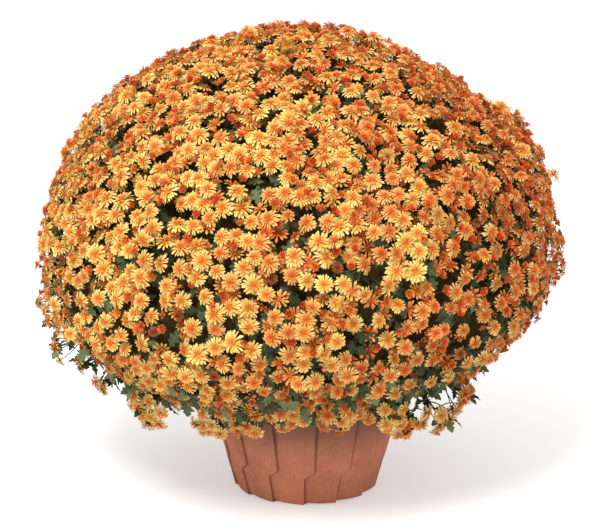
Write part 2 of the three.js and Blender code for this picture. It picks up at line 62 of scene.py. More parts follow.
CENTRE = np.array([0.0, 0.0, 0.330])
OUTLINE_START, OUTLINE_STEP = -54, 12  # elevations of the outline's rows, in degrees
OUTLINE_RIGHT = [
    0.300, 0.304, 0.300, 0.320, 0.366, 0.396, 0.405, 0.410, 0.398, 0.386, 0.389, 0.396, 0.399,
]
OUTLINE_LEFT = [
    0.290, 0.316, 0.340, 0.386, 0.411, 0.418, 0.418, 0.417, 0.414, 0.410, 0.404, 0.398, 0.399,
]
LOBES = [  # azimuth, elevation, how far it rises, and its spread in degrees
    (2, 31, 0.012, 9), (-92, 18, 0.009, 16), (-62, 48, -0.006, 11), (-124, 50, 0.007, 13),
    (-112, -14, 0.008, 12), (-48, -10, 0.009, 11), (60, 30, 0.009, 15), (122, 12, 0.010, 15),
    (90, -14, 0.008, 13), (180, 34, 0.009, 12), (4, 39, 0.007, 8),
]
SKIRT_EDGE = -41.0  # elevation of the lowest flowers at the sides and the back
SKIRT_LIFT = 10.0  # how much higher they end at the front

SPRAY_RINGS = {"crown": 7, "shoulder": 11, "waist": 13, "skirt": 11}
SPRAY_ZONES = [zone for zone, count in SPRAY_RINGS.items() for _ in range(count)]
SPRAY_COLOURS = ["orange" if index % 3 == 1 else "yellow" for index in range(len(SPRAY_ZONES))]

# Each kind of flower: how many places are tried and how many are kept at most, the distance
# to the next one, each one's share of it, how that share falls (from, by, between two
# elevations), how much thin places add to it, how far slow waves and the low sides change
# it, the share of it that stays clear of the kinds placed before, whether the gaps stay
# free, radius, range of depth, tilt and mean shade.
OPEN = SimpleNamespace(
    tries=30000, most=None, apart=0.0250, own=(0.66, 1.20), fall=(1.20, 0.26, -20, 46), thin=0.85,
    waves=0.10, clear=0, gaps=True, radius=0.0155, depth=(0.0, 0.014), tilt=0.28, shade=0.24)
YOUNG = SimpleNamespace(
    tries=6000, most=1120, apart=0.0140, own=(0.9, 2.2), fall=(1.25, 0.45, -10, 50), thin=0,
    waves=0, clear=0.66, gaps=True, radius=0.0088, depth=(-0.001, 0.010), tilt=0.32, shade=0.65)
BUD = SimpleNamespace(
    tries=6000, most=380, apart=0.0110, own=(0.9, 2.4), fall=(1, 0, 0, 1), thin=0,
    waves=0, clear=0.62, gaps=False, radius=0.0038, depth=(0.0, 0.012), tilt=0.35, shade=0.80)
# late blooms sit under the others: their redder, darker mean shade is partly younger blooms,
# partly painted shade in the gaps
LATE = SimpleNamespace(
    tries=6000, most=1380, apart=0.0180, own=(0.8, 1.3), fall=(1.35, 0.45, -20, 12), thin=1,
    waves=0, clear=0, gaps=True, radius=0.0145, depth=(0.009, 0.027), tilt=0.36, shade=0.50)
OPEN_FORMS, LATE_FORMS, SHOOT_FORMS, LEAF_FORMS = 12, 4, 4, 8
RIPENESS = (0.72, 1.0)  # how far the open blooms have opened
YOUNG_OPENINGS = (0.1, 0.35, 0.6, 0.85, 1.0)
BUD_FATNESS = (0.1, 0.5, 0.9)
WITHERED_SHARE = 0.010  # of the open blooms
SUNNY_AZIMUTH, SUNNY_ELEVATION = -146, 30
LEVELS = 64  # shades of bloom, from straw yellow to brick red
GREEN_LEVELS = 4  # the last of these levels colour calyx and stalk
PETAL, GREEN = 0, 1  # finishes of a flower

THIN_PLACES = [  # azimuth, elevation and width in degrees of spots where leaves show
    (-50, 12, 6), (-54, 2, 5), (-135, 1, 4), (-60, -11, 4), (-45, -18, 7), (-140, -20, 7),
    (-160, -16, 8), (-118, -22, 5), (-95, -20, 4), (-30, -14, 8), (-18, -8, 5), (-172, -12, 6),
    (30, 12, 5), (60, -14, 6), (95, 22, 5), (130, -8, 5), (165, 30, 5), (150, -20, 6),
    (80, 50, 5), (110, -18, 6), (20, -14, 6), (-30, -26, 8), (-10, -24, 8), (10, -28, 8),
    (-50, -32, 6), (180, -24, 8), (-166, -28, 7), (-148, -32, 6), (164, -26, 7),
]
GAP_TRIES = 4000
GAP_WIDTHS = (1.8, 2.9)  # degrees from a gap's middle within which no bloom has its middle

SHOOTS = [  # azimuth, elevation, reach and blooms of the leafy side shoots at the front
    (-174, -14, 0.404, 4), (-177, -9, 0.404, 2), (-168, -18, 0.374, 3), (-162, -23, 0.362, 2),
    (-152, -24, 0.330, 5), (-146, -28.5, 0.342, 12), (-133, -26, 0.306, 5), (-124, -33, 0.312, 7),
    (-110, -27, 0.322, 8), (-95, -22, 0.330, 9), (-80, -24, 0.322, 9), (-64, -27, 0.318, 8),
    (-50, -36, 0.308, 8), (-39, -33, 0.326, 6), (-29, -29, 0.318, 7), (-14, -25, 0.298, 6),
]
BACK_SHOOTS = 13
BACK_BLOOMS = (4, 12)  # fewest and one past the most

LEAF_LENGTH = 0.040
LEAF_SHADES = 16
DOME_LEAVES = ((1900, (0.024, 0.040)), (600, (0.038, 0.052)))  # places tried, range of depth
SKIRT_LEAVES = 1250  # places tried
LEAVES_ON_SHOOT, LEAVES_IN_GAP = 14, 3
CORE_DEPTH, CORE_COLUMNS, CORE_ROWS = 0.045, 80, 38
BRANCHES = 7

# ---- the pot

POT_HEIGHT = 0.185
POT_BASE_RADIUS = 0.112
POT_RIM_RADIUS = 0.162
POT_WALL = 0.0032
POT_FLOOR = 0.004
LIP_OUT = 0.005
LIP_DEPTH = 0.016
STAVES = 14
STAVE_RELIEF = 0.0012
GROOVE_DEPTH = 0.0019
GROOVE_SHARE = 2.4 / (360 / STAVES)  # of a stave, for a groove 2.4 degrees wide
GROOVE_TURN = -7.0  # degrees by which the whole set of grooves is turned
JOG_TOP = 0.060
JOG_BOTTOM = 0.046
JOG_ANGLE = 7.0
FOOT_SLANT = 0.003
CAVITY = [  # height and offset from the outer wall, below 0 on its inside
    (POT_HEIGHT, -POT_WALL + 0.001), (POT_HEIGHT - 0.002, -POT_WALL - 0.0006),
    (0.12, -POT_WALL - GROOVE_DEPTH), (POT_FLOOR + 0.003, -POT_WALL - GROOVE_DEPTH),
    (POT_FLOOR, -POT_WALL - GROOVE_DEPTH - 0.004),
]
RECESS = [(0.042, 0.0), (0.0435, 0.0016), (0.0925, 0.0016), (0.094, 0.0)]  # radius and height
DRAINS, DRAIN_CIRCLE, DRAIN_RADIUS = 7, 0.068, 0.006
SOIL_TOP = 0.163
SOIL_RISE = 0.007
SOIL_COLUMNS = 96

# ---- stage, light and camera

FLOOR_HALF = 40.0
KEY_PLACE, KEY_AIM, KEY_SIZE, KEY_POWER = (-0.75, -2.42, 2.95), (0, 0, 0.35), 1.1, 96
WORLD_STRENGTH = 0.78
CAMERA_PLACE, CAMERA_AIM = (-0.0093, -2.73, 1.03), (-0.0093, 0.0, 0.356)
CAMERA_LENS, CAMERA_SENSOR = 108.7, 36.0

draws = np.random.default_rng(2024)


# ---- small helpers

def unit(vectors):
    return vectors / np.maximum(np.linalg.norm(vectors, axis=-1, keepdims=True), 1e-12)


def smoothstep(value, low, high):
    share = np.clip((value - low) / (high - low), 0.0, 1.0)
    return share * share * (3 - 2 * share)


def towards(azimuth, elevation):
    """Unit vectors for an azimuth from +X and an elevation, in degrees."""
    azimuth, elevation = np.radians(azimuth), np.radians(elevation)
    flat = np.cos(elevation)
    return np.stack([flat * np.cos(azimuth), flat * np.sin(azimuth), np.sin(elevation)], -1)


def anywhere(lowest, count):
    """Directions spread evenly over the ball above an elevation."""
    heights = draws.uniform(math.sin(math.radians(lowest)), 1.0, count)
    return towards(draws.uniform(0, 360, count), np.degrees(np.arcsin(heights)))


def elevation_of(at):
    return np.degrees(np.arcsin(np.clip(at[..., 2], -1, 1)))


def degrees_between(at, others):
    return np.degrees(np.arccos(np.clip(at @ others, -1, 1)))


def curve(start, knee, end, count):
    """Points along a curve from start to end that bends towards the knee."""
    share = np.linspace(0, 1, count)[:, None]
    return (1 - share) ** 2 * start + 2 * share * (1 - share) * knee + share ** 2 * end


def level_ring(turns, radius, height):
    """A ring of points round the pot's axis."""
    height = np.broadcast_to(height, turns.shape)
    return np.stack([radius * np.cos(turns), radius * np.sin(turns), height], -1)


def linear(red, green, blue):
    """A colour given in display values from 0 to 255, as the shader wants it."""
    values = np.array([red, green, blue]) / 255
    low = values <= 0.04045
    return (*np.where(low, values / 12.92, ((values + 0.055) / 1.055) ** 2.4), 1.0)


# ---- the flowering surface

def dome_radius(at):
    azimuth = np.arctan2(at[..., 1], at[..., 0])
    row = (elevation_of(at) - OUTLINE_START) / OUTLINE_STEP
    rows = np.arange(len(OUTLINE_RIGHT))
    left, right = np.interp(row, rows, OUTLINE_LEFT), np.interp(row, rows, OUTLINE_RIGHT)
    radius = left + (right - left) * (0.5 + 0.5 * np.cos(azimuth))
    for lobe_azimuth, lobe_elevation, rise, spread in LOBES:
        away = degrees_between(at, towards(lobe_azimuth, lobe_elevation))
        radius = radius + rise * np.exp(-((away / spread) ** 2))
    return radius


def on_dome(at):
    return CENTRE + at * dome_radius(at)[..., None]


def under_dome(at, depth):
    return on_dome(at) - at * depth[:, None]


def tangents(at):
    """Two unit vectors square to each direction: one level, one that climbs."""
    level = np.stack([-at[..., 1], at[..., 0], np.zeros(at.shape[:-1])], -1)
    level = unit(level + np.array([0.0, 1e-6, 0.0]))
    return level, np.cross(at, level)


def dome_normals(at, step=0.03):
    across, up = [on_dome(unit(at + step * side)) - on_dome(unit(at - step * side))
                  for side in tangents(at)]
    return unit(np.cross(across, up))


def patchiness(at, seed, slowest, fastest):
    """Smooth variation over the plant, about -1 to 1, with waves of several lengths."""
    waves = np.random.default_rng(seed)
    total = np.zeros(len(at))
    for _ in range(14):
        axis = unit(waves.normal(size=3)) * waves.uniform(slowest, fastest)
        total += np.sin(at @ axis + waves.uniform(0, TURN))
    return total / 3.2


def skirt_edge(at):
    """The elevation where the flowers end: higher at the front, where the pot shows."""
    front = np.clip(-unit(at[..., :2])[..., 1], 0, 1)
    return SKIRT_EDGE + SKIRT_LIFT * front ** 2


def low_side(at):
    """1 low on the left and right of the plant, where blooms stay small, and 0 elsewhere."""
    return np.abs(at[..., 0]) ** 1.5 * smoothstep(-elevation_of(at), -20, 6)


def skirt_sink(at):
    """The lowest flowers sit back, so that the side shoots stand out of them."""
    across, fall = unit(at[..., :2])[..., 0], -elevation_of(at)
    left = np.clip(-across, 0, 1) ** 1.5 * smoothstep(fall, 2, 16)
    right = np.clip(across, 0, 1) ** 1.5 * smoothstep(fall, 11, 21)
    skirt = 1 - smoothstep(elevation_of(at) - skirt_edge(at), 2, 26)
    return 0.030 * skirt + 0.036 * left + 0.026 * right


def spray_relief(at):
    """Neighbouring blooms form low heads, with furrows between them."""
    return 0.0035 * (1 - patchiness(at, 23, 18, 34))


def gap_middles():
    """Directions and widths of small gaps between the heads, closer together low down."""
    random = np.random.default_rng(67)
    turns, heights = random.uniform(0, 360, GAP_TRIES), random.uniform(-0.5, 1, GAP_TRIES)
    tries = towards(turns, np.degrees(np.arcsin(heights)))
    apart = np.radians(8.3 + 11.0 * smoothstep(elevation_of(tries), 4, 38))
    chosen = []
    for index, at in enumerate(tries):
        if all(math.acos(min(1, at @ tries[other])) > apart[index] for other in chosen):
            chosen.append(index)
    return tries[chosen], random.uniform(*GAP_WIDTHS, len(chosen))


def in_a_gap(at):
    middles, widths = gap_middles()
    return (degrees_between(at, middles.T) < widths).any(1)


def thinness(at):
    """0 where flowers stand close, up to 1 where the leaves show."""
    bare = np.zeros(len(at))
    for azimuth, elevation, width in THIN_PLACES:
        away = degrees_between(at, towards(azimuth, elevation))
        bare = np.maximum(bare, np.exp(-((away / width) ** 2)))
    above = elevation_of(at) - skirt_edge(at)
    return np.clip(0.74 * bare + 0.75 * (1 - smoothstep(above, 6, 20)), 0, 1)


def spacing_of(kind, at):
    """How far each flower keeps from the next of its kind."""
    first, fall, low, high = kind.fall
    waves = (1 + kind.waves * patchiness(at, 7, 6, 20)) * (1 - kind.waves * low_side(at))
    own = draws.uniform(*kind.own, len(at))
    higher = first - fall * smoothstep(elevation_of(at), low, high)
    return kind.apart * waves * own * higher * (1 + kind.thin * thinness(at))


def scattered(kind, kept):
    """Directions and places on the dome for one kind of flower, clear of the kept places."""
    at = anywhere(SKIRT_EDGE, kind.tries)
    at = at[elevation_of(at) > skirt_edge(at)]
    if kind.gaps:
        at = at[~in_a_gap(at)]
    places, spacing = on_dome(at), spacing_of(kind, at)
    taken = np.empty((len(kept) + len(places), 3))
    taken[: len(kept)] = kept
    count, chosen = len(kept), []
    for index, (place, gap) in enumerate(zip(places, spacing)):
        near = ((taken[:count] - place) ** 2).sum(1)
        if (near[: len(kept)] < (kind.clear * gap) ** 2).any():
            continue
        if (near[len(kept) :] < gap * gap).any():
            continue
        taken[count] = place
        count += 1
        chosen.append(index)
    chosen = chosen[: kind.most]
    return at[chosen], places[chosen]


# ---- patterns

def grid_faces(rows, sides):
    """Triangles between rings of as many points each."""
    faces = []
    for row in range(rows - 1):
        for side in range(sides):
            a, b = row * sides + side, row * sides + (side + 1) % sides
            faces += [(a, b, b + sides), (a, b + sides, a + sides)]
    return faces


class Pattern:
    """A small mesh. Each point has a tone along the petal or leaf and a share across it."""

    def __init__(self):
        self.points, self.tones, self.shares, self.faces, self.finishes = [], [], [], [], []

    def add(self, points, tones, shares, faces, finish=PETAL):
        start = len(self.points)
        self.points.extend(points)
        self.tones.extend(tones)
        self.shares.extend(shares)
        self.faces.extend([start + a, start + b, start + c] for a, b, c in faces)
        self.finishes.extend([finish] * len(faces))

    def loft(self, rings, tones, finish, cap=None):
        """Joins rings of as many points, and closes on a cap point if there is one."""
        sides, top = len(rings[0]), (len(rings) - 1) * len(rings[0])
        points = [point for one in rings for point in one]
        tone = [value for value in tones[: len(rings)] for _ in range(sides)]
        share = [1 - abs(2 * side / sides - 1) for side in range(sides)] * len(rings)
        faces = grid_faces(len(rings), sides)
        if cap:
            points, tone, share = points + [cap], tone + [tones[-1]], share + [0.55]
            faces += [(top + side, top + (side + 1) % sides, top + sides) for side in range(sides)]
        self.add(points, tone, share, faces, finish)

    def done(self):
        for name in ("points", "tones", "shares"):
            setattr(self, name, np.array(getattr(self, name), float))
        self.faces, self.finishes = np.array(self.faces, int), np.array(self.finishes, int)
        return self


LONG_PETAL = [(0, 1, 2), (1, 3, 4), (1, 4, 2), (2, 4, 5), (3, 6, 4), (4, 6, 5)]
SHORT_PETAL = [(0, 1, 2), (0, 2, 3), (1, 4, 2), (2, 4, 3)]


def turned(points, angle):
    cos, sin = math.cos(angle), math.sin(angle)
    return [(x * cos - y * sin, x * sin + y * cos, z) for x, y, z in points]


def long_petal(pattern, angle, stretch, width, heights, tones, roll):
    """A petal that rolls to one side. heights are those of root, middle, far part and tip."""
    root, middle, far, tip = stretch
    low, mid, high, end = heights
    points = [
        (root, 0, low),
        (middle, -0.72 * width, mid - 0.5 * roll), (middle, 0.72 * width, mid + 0.5 * roll),
        (far, -width, high - roll), (far, 0, high - 0.04), (far, width, high + roll),
        (tip, 0, end),
    ]
    first, last = tones
    steps = [first + (last - first) * (place - root) / (tip - root) for place in stretch]
    tone = [steps[0]] + [steps[1]] * 2 + [steps[2]] * 3 + [steps[3]]
    pattern.add(turned(points, angle), tone, [0.5, 0.1, 0.9, 0.0, 0.5, 1.0, 0.5], LONG_PETAL)


def short_petal(pattern, angle, stretch, width, heights, tones, channel=0.03):
    root, far, tip = stretch
    low, high, end = heights
    points = [
        (root, 0, low), (far, -width, high), (far, 0, high - channel), (far, width, high),
        (tip, 0, end),
    ]
    first, last = tones
    tone = [first] + [first + 0.7 * (last - first)] * 3 + [last]
    pattern.add(turned(points, angle), tone, [0.5, 0.0, 0.5, 1.0, 0.5], SHORT_PETAL)


def ring(radius, height, sides, twist=0.0):
    angles = [TURN * (side + twist) / sides for side in range(sides)]
    return [(radius * math.cos(a), radius * math.sin(a), height) for a in angles]


def calyx_and_stalk(pattern, top, radius, length, bend):
    pattern.loft([ring(0.05, top - 0.30, 5), ring(radius, top, 5)], [0.6, 0.1], GREEN)
    if length:
        foot = [(x + bend[0], y + bend[1], z) for x, y, z in ring(0.05, -length, 3)]
        pattern.loft([foot, ring(0.05, top - 0.28, 3)], [1.0, 0.5], GREEN)


def open_bloom(random, opening, stalk=2.6):
    """A daisy of radius 1 that faces +Z. opening is 1 for a flat, ripe one and less for a cup."""
    pattern = Pattern()
    cup = (1 - opening) * 0.75
    rows = [  # count, root, reach, half width, lift of the tip, first and last tone
        (20, 0.14, 1.00, 0.098, -0.20 + 0.80 * cup, (0.42, 1.00)),
        (13, 0.12, 0.86, 0.098, 0.07 + 0.66 * cup, (0.34, 0.95)),
        (10, 0.10, 0.64, 0.092, 0.30 + 0.44 * cup, (0.22, 0.74)),
        (7, 0.04, 0.40, 0.092, 0.42 + 0.25 * cup, (0.06, 0.46)),
    ]
    for index, (count, root, reach, width, lift, tones) in enumerate(rows):
        for petal in range(count):
            angle = TURN * (petal + 0.5 * (index % 2) + random.uniform(-0.3, 0.3)) / count
            length = reach * random.uniform(0.84, 1.08) * (1 - 0.20 * cup)
            rise = lift + random.normal(0, 0.08)
            half = width * random.uniform(0.8, 1.15)
            if index == 0:
                ends = (tones[0], tones[1] - 0.12 * (petal % 3 == 0))
                roll = random.normal(0, 0.035)
                stretch = (root, 0.48 * length, 0.88 * length, length)
                heights = (0.02, 0.30 * rise + 0.10, rise + 0.06, rise - 0.06)
                long_petal(pattern, angle, stretch, half, heights, ends, roll)
            else:
                stretch = (root, 0.78 * length, length)
                heights = (0.02 + 0.07 * index, 0.8 * rise + 0.06, rise)
                short_petal(pattern, angle, stretch, half, heights, tones)
    disc = [ring(0.20, 0.06, 6), ring(0.11, 0.20, 6, 0.5)]
    pattern.loft(disc, [0.16, 0.08, 0.0], PETAL, cap=(0, 0, 0.25))
    calyx_and_stalk(pattern, 0.03, 0.24, stalk, random.uniform(-0.5, 0.5, 2))
    return pattern.done()


def young_bloom(random, opening):
    """A half-open bloom of radius 1: short rays that stand round a tight middle."""
    pattern = Pattern()
    rows = [  # count, root, reach, height, half width, first and last tone
        (12, 0.28, 0.70 + 0.30 * opening, 0.85 - 0.40 * opening, 0.15, (0.14, 0.66)),
        (7, 0.18, 0.50 + 0.14 * opening, 0.92 - 0.30 * opening, 0.17, (0.10, 0.46)),
        (5, 0.04, 0.30, 0.92 - 0.28 * opening, 0.16, (0.00, 0.26)),
    ]
    for index, (count, root, reach, height, width, tones) in enumerate(rows):
        for petal in range(count):
            angle = TURN * (petal + 0.5 * index + random.uniform(-0.25, 0.25)) / count
            length, tall = reach * random.uniform(0.85, 1.1), height * random.uniform(0.9, 1.1)
            stretch, heights = (root, 0.85 * length, length), (0.05, 0.72 * tall, tall)
            short_petal(pattern, angle, stretch, width, heights, tones)
    middle = [ring(0.34, 0.0, 5), ring(0.18, 0.40, 5)]
    pattern.loft(middle, [0.3, 0.12, 0.02], PETAL, cap=(0, 0, 0.50))
    calyx_and_stalk(pattern, 0.06, 0.38, 4.0, random.uniform(-0.8, 0.8, 2))
    return pattern.done()


def late_bloom(random):
    """A plainer bloom of radius 1, for the ones that others overtop."""
    pattern = Pattern()
    for count, reach, lift, tones in ((12, 1.0, 0.10, (0.20, 0.92)), (6, 0.6, 0.34, (0.10, 0.60))):
        for petal in range(count):
            angle = TURN * (petal + random.uniform(-0.3, 0.3)) / count
            length, rise = reach * random.uniform(0.8, 1.1), lift + random.normal(0, 0.12)
            stretch, heights = (0.08, 0.78 * length, length), (0.05, 0.8 * rise + 0.05, rise)
            short_petal(pattern, angle, stretch, 0.135, heights, tones, 0.04)
    pattern.loft([ring(0.20, 0.08, 5)], [0.14, 0.0], PETAL, cap=(0, 0, 0.22))
    return pattern.done()


def bud(random, fatness):
    """A closed bud of radius 1 in its green calyx."""
    pattern = Pattern()
    tall = 1.35 - 0.4 * fatness
    swell = [ring(0.84, 0.0, 5), ring(0.98, 0.30, 5, 0.2), ring(0.66, 0.70 * tall, 5, 0.4)]
    pattern.loft(swell, [0.08, 0.18, 0.36, 0.70], PETAL, cap=(0, 0, 0.92 * tall))
    cup = [ring(0.26, -0.85, 5), ring(0.86, -0.30, 5), ring(1.02, 0.16, 5, 0.3)]
    pattern.loft(cup, [0.8, 0.4, 0.1], GREEN)
    foot = [(x + random.uniform(-1, 1), y, z) for x, y, z in ring(0.14, -7.0, 3)]
    pattern.loft([foot, ring(0.18, -0.8, 3)], [1.0, 0.6], GREEN)
    return pattern.done()


LEAF_EDGE = [  # share of the length, half width as a share of the length
    (0.00, 0.018), (0.16, 0.030), (0.24, 0.200), (0.34, 0.235), (0.39, 0.105), (0.52, 0.310),
    (0.62, 0.300), (0.64, 0.130), (0.78, 0.215), (0.84, 0.120), (0.94, 0.075),
]
LEAF_RIB = [0.0, 0.28, 0.40, 0.64, 0.84, 1.0]
LEAF_RIB_OF_EDGE = [0, 0, 1, 1, 2, 2, 3, 3, 3, 4, 4]


def leaf(random, droop):
    """A lobed leaf of length 1 along +X that faces +Z."""
    pattern = Pattern()
    fold, sweep = random.uniform(0.10, 0.32), random.uniform(-0.10, 0.10)
    waves = random.normal(0, 0.022, (2, len(LEAF_EDGE)))

    def sag(along):
        return 0.10 * math.sin(math.pi * along) - droop * along ** 2.2

    points = [(along, sweep * along * along, sag(along)) for along in LEAF_RIB]
    tones, shares, faces = list(LEAF_RIB), [0.5] * len(LEAF_RIB), []
    for side, sign in enumerate((-1, 1)):
        start = len(points)
        for place, (along, half) in enumerate(LEAF_EDGE):
            wide = half * random.uniform(0.85, 1.12)
            height = sag(along) + fold * wide + waves[side, place]
            points.append((along + 0.05 * wide, sweep * along * along + sign * wide, height))
            tones.append(along)
            shares.append(0.5 + sign * 0.5 * half / 0.35)
        for place in range(len(LEAF_EDGE) - 1):
            rib, following = LEAF_RIB_OF_EDGE[place], LEAF_RIB_OF_EDGE[place + 1]
            faces.append((rib, start + place, start + place + 1)[:: -sign])
            if following != rib:
                faces.append((rib, start + place + 1, following)[:: -sign])
        last = LEAF_RIB_OF_EDGE[-1]
        faces.append((last, start + len(LEAF_EDGE) - 1, len(LEAF_RIB) - 1)[:: -sign])
    pattern.add(points, tones, shares, faces)
    return pattern.done()


# ---- meshes

def mesh_piece(name, points, faces, materials, smooth=False):
    mesh = bpy.data.meshes.new(name)
    mesh.vertices.add(len(points))
    mesh.vertices.foreach_set("co", np.asarray(points, np.float32).ravel())
    mesh.loops.add(3 * len(faces))
    mesh.loops.foreach_set("vertex_index", np.asarray(faces, np.int32).ravel())
    mesh.polygons.add(len(faces))
    mesh.polygons.foreach_set("loop_start", np.arange(0, 3 * len(faces), 3, dtype=np.int32))
    mesh.update(calc_edges=True)
    mesh.polygons.foreach_set("use_smooth", np.full(len(faces), smooth))
    for material in materials:
        mesh.materials.append(material)
    made = bpy.data.objects.new(name, mesh)
    bpy.context.scene.collection.objects.link(made)
    return made


def dress(made, nodes):
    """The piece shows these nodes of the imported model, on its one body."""
    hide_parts(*nodes)
    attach(made, BODY)


def solid_piece(name, shape, material, node, smooth=True):
    """A piece of one material for one node."""
    made = mesh_piece(name, *shape, [material], smooth)
    dress(made, [node])
    return made


def closed_rings(rows):
    """A skin through rings of points, closed by a middle point at the first and the last."""
    sides, top = len(rows[0]), (len(rows) - 1) * len(rows[0])
    points = [point for row in rows for point in row]
    points += [np.mean(rows[0], axis=0), np.mean(rows[-1], axis=0)]
    faces = grid_faces(len(rows), sides)
    for side in range(sides):
        following = (side + 1) % sides
        faces.append((following, side, len(points) - 2))
        faces.append((top + side, top + following, len(points) - 1))
    return np.array(points), np.array(faces)


def tube(path, radii, sides):
    """Closed tube along a path of points."""
    path = np.array(path, float)
    heading = unit(np.gradient(path, axis=0))
    side = unit(np.cross(heading, np.array([0.31, 0.17, 0.93]) + 1e-3))
    other = np.cross(heading, side)
    turns = TURN * np.arange(sides) / sides
    rows = []
    for place, radius in enumerate(radii):
        circle = np.cos(turns)[:, None] * side[place] + np.sin(turns)[:, None] * other[place]
        rows.append(path[place] + radius * circle)
    return closed_rings(rows)


def merged(parts):
    points, faces, count = [], [], 0
    for some_points, some_faces in parts:
        points.append(some_points)
        faces.append(some_faces + count)
        count += len(some_points)
    return np.concatenate(points), np.concatenate(faces)


def facing_frames(facing, pointing=None):
    """Matrices whose third column faces out. The first points as asked, or at random."""
    if pointing is None:
        pointing = draws.normal(size=facing.shape)
    first = unit(pointing - (pointing * facing).sum(-1, keepdims=True) * facing)
    return np.stack([first, np.cross(facing, first), facing], -1)


class Bunch:
    """Copies of patterns in one mesh. map_of says where a corner lies on its map."""

    def __init__(self, map_of):
        self.points, self.faces, self.marks, self.finishes, self.maps = [], [], [], [], []
        self.count, self.map_of = 0, map_of

    def place(self, pattern, origins, frames, scales, levels):
        if not len(origins):
            return
        copies, size = len(origins), len(pattern.points)
        local = np.einsum("nij,vj->nvi", frames, pattern.points) * scales[:, None, None]
        self.points.append((local + origins[:, None]).reshape(-1, 3))
        starts = self.count + size * np.arange(copies)
        self.faces.append((pattern.faces[None] + starts[:, None, None]).reshape(-1, 3))
        self.finishes.append(np.tile(pattern.finishes, copies))
        marks = np.empty((copies, size, 3))
        marks[:, :, 0], marks[:, :, 1] = pattern.tones, pattern.shares
        marks[:, :, 2] = levels[:, None]
        self.marks.append(marks.reshape(-1, 3))
        tone, share, level = np.moveaxis(marks[:, pattern.faces.ravel()], -1, 0)
        places = self.map_of(tone, share, level, np.repeat(pattern.finishes, 3))
        self.maps.append(places.reshape(-1, 2))
        self.count += copies * size

    def place_forms(self, patterns, form, *others):
        """Places each copy in the pattern that its form names."""
        for number, pattern in enumerate(patterns):
            pick = form == number
            self.place(pattern, *[values[pick] for values in others])

    def piece(self, name, materials):
        points, faces = np.concatenate(self.points), np.concatenate(self.faces)
        made = mesh_piece(name, points, faces, materials, smooth=True)
        made.data.polygons.foreach_set("material_index", np.concatenate(self.finishes))
        mark = made.data.attributes.new("growth", "FLOAT_VECTOR", "POINT")
        mark.data.foreach_set("vector", np.concatenate(self.marks).astype(np.float32).ravel())
        layer = made.data.uv_layers.new(name="OFBake")
        layer.uv.foreach_set("vector", np.concatenate(self.maps).astype(np.float32).ravel())
        return made


def bloom_map(tone, share, level, finish):
    """Each shade of bloom has one strip of the map, and green parts have the last ones."""
    strip = np.round(level * LEVELS - 0.5)
    green = LEVELS - GREEN_LEVELS + strip % GREEN_LEVELS
    strip = np.where(finish[None, :] == GREEN, green, strip)
    across = (strip + 0.1 + 0.8 * share) / LEVELS
    return np.stack([0.004 + 0.992 * tone, across], -1)


def leaf_map(tone, share, level, _):
    """Each shade of leaf has one tile of the map."""
    tiles = int(math.sqrt(LEAF_SHADES))
    tile = np.round(level * LEAF_SHADES - 0.5)
    along = (tile % tiles + 0.03 + 0.94 * tone) / tiles
    across = (tile // tiles + 0.03 + 0.94 * share) / tiles
    return np.stack([along, across], -1)


# ---- shader helpers

class Nodes:
    """Short ways to add and join the nodes of one tree."""

    def __init__(self, tree):
        self.tree = tree

    def feed(self, sockets, sources):
        """Sets each named socket to a number or colour, or joins it to an output."""
        for name, source in sources.items():
            if isinstance(source, (int, float, tuple)):
                sockets[name].default_value = source
            else:
                self.tree.links.new(source, sockets[name])

    def add(self, kind, sources=None, **settings):
        """Adds a node and gives its outputs."""
        node = self.tree.nodes.new(kind)
        for name, value in settings.items():
            setattr(node, name, value)
        self.feed(node.inputs, sources or {})
        return node.outputs

    def math(self, operation, first, second=0.5, clamp=False):
        sources = {0: first, 1: second}
        return self.add("ShaderNodeMath", sources, operation=operation, use_clamp=clamp)[0]

    def plus(self, first, second):
        return self.math("ADD", first, second)

    def minus(self, first, second, clamp=False):
        return self.math("SUBTRACT", first, second, clamp)

    def times(self, first, second, clamp=False):
        return self.math("MULTIPLY", first, second, clamp)

    def ramp(self, value, stops):
        """A ramp through stops of a position and a display colour."""
        node = self.tree.nodes.new("ShaderNodeValToRGB")
        elements = node.color_ramp.elements
        while len(elements) < len(stops):
            elements.new(0.5)
        for element, (position, *colour) in zip(elements, stops):
            element.position, element.color = position, linear(*colour)
        self.feed(node.inputs, {0: value})
        return node.outputs[0]

    def mix(self, share, first, second):
        return self.add("ShaderNodeMix", {0: share, 6: first, 7: second}, data_type="RGBA")[2]

    def scaled(self, colour, brightness):
        sources = {0: colour, "Scale": brightness}
        return self.add("ShaderNodeVectorMath", sources, operation="SCALE")[0]

    def noise(self, vector, scale, detail, roughness):
        sources = {"Vector": vector, "Scale": scale, "Detail": detail, "Roughness": roughness}
        return self.add("ShaderNodeTexNoise", sources)["Fac"]

    def mark(self, name):
        return self.add("ShaderNodeAttribute", attribute_type="GEOMETRY", attribute_name=name)

    def bump(self, height, strength, distance):
        sources = {"Height": height, "Strength": strength, "Distance": distance}
        return self.add("ShaderNodeBump", sources)[0]


def new_group(name, inputs, outputs):
    """An empty shader group, its nodes, and the sockets that it is given and gives."""
    tree = bpy.data.node_groups.new(name, "ShaderNodeTree")
    for sockets, side in ((inputs, "INPUT"), (outputs, "OUTPUT")):
        for socket in sockets:
            kind = "Color" if "Colour" in socket else "Vector" if socket == "Vector" else "Float"
            tree.interface.new_socket(name=socket, in_out=side, socket_type=f"NodeSocket{kind}")
    nodes = Nodes(tree)
    return tree, nodes, nodes.add("NodeGroupInput"), tree.nodes.new("NodeGroupOutput").inputs


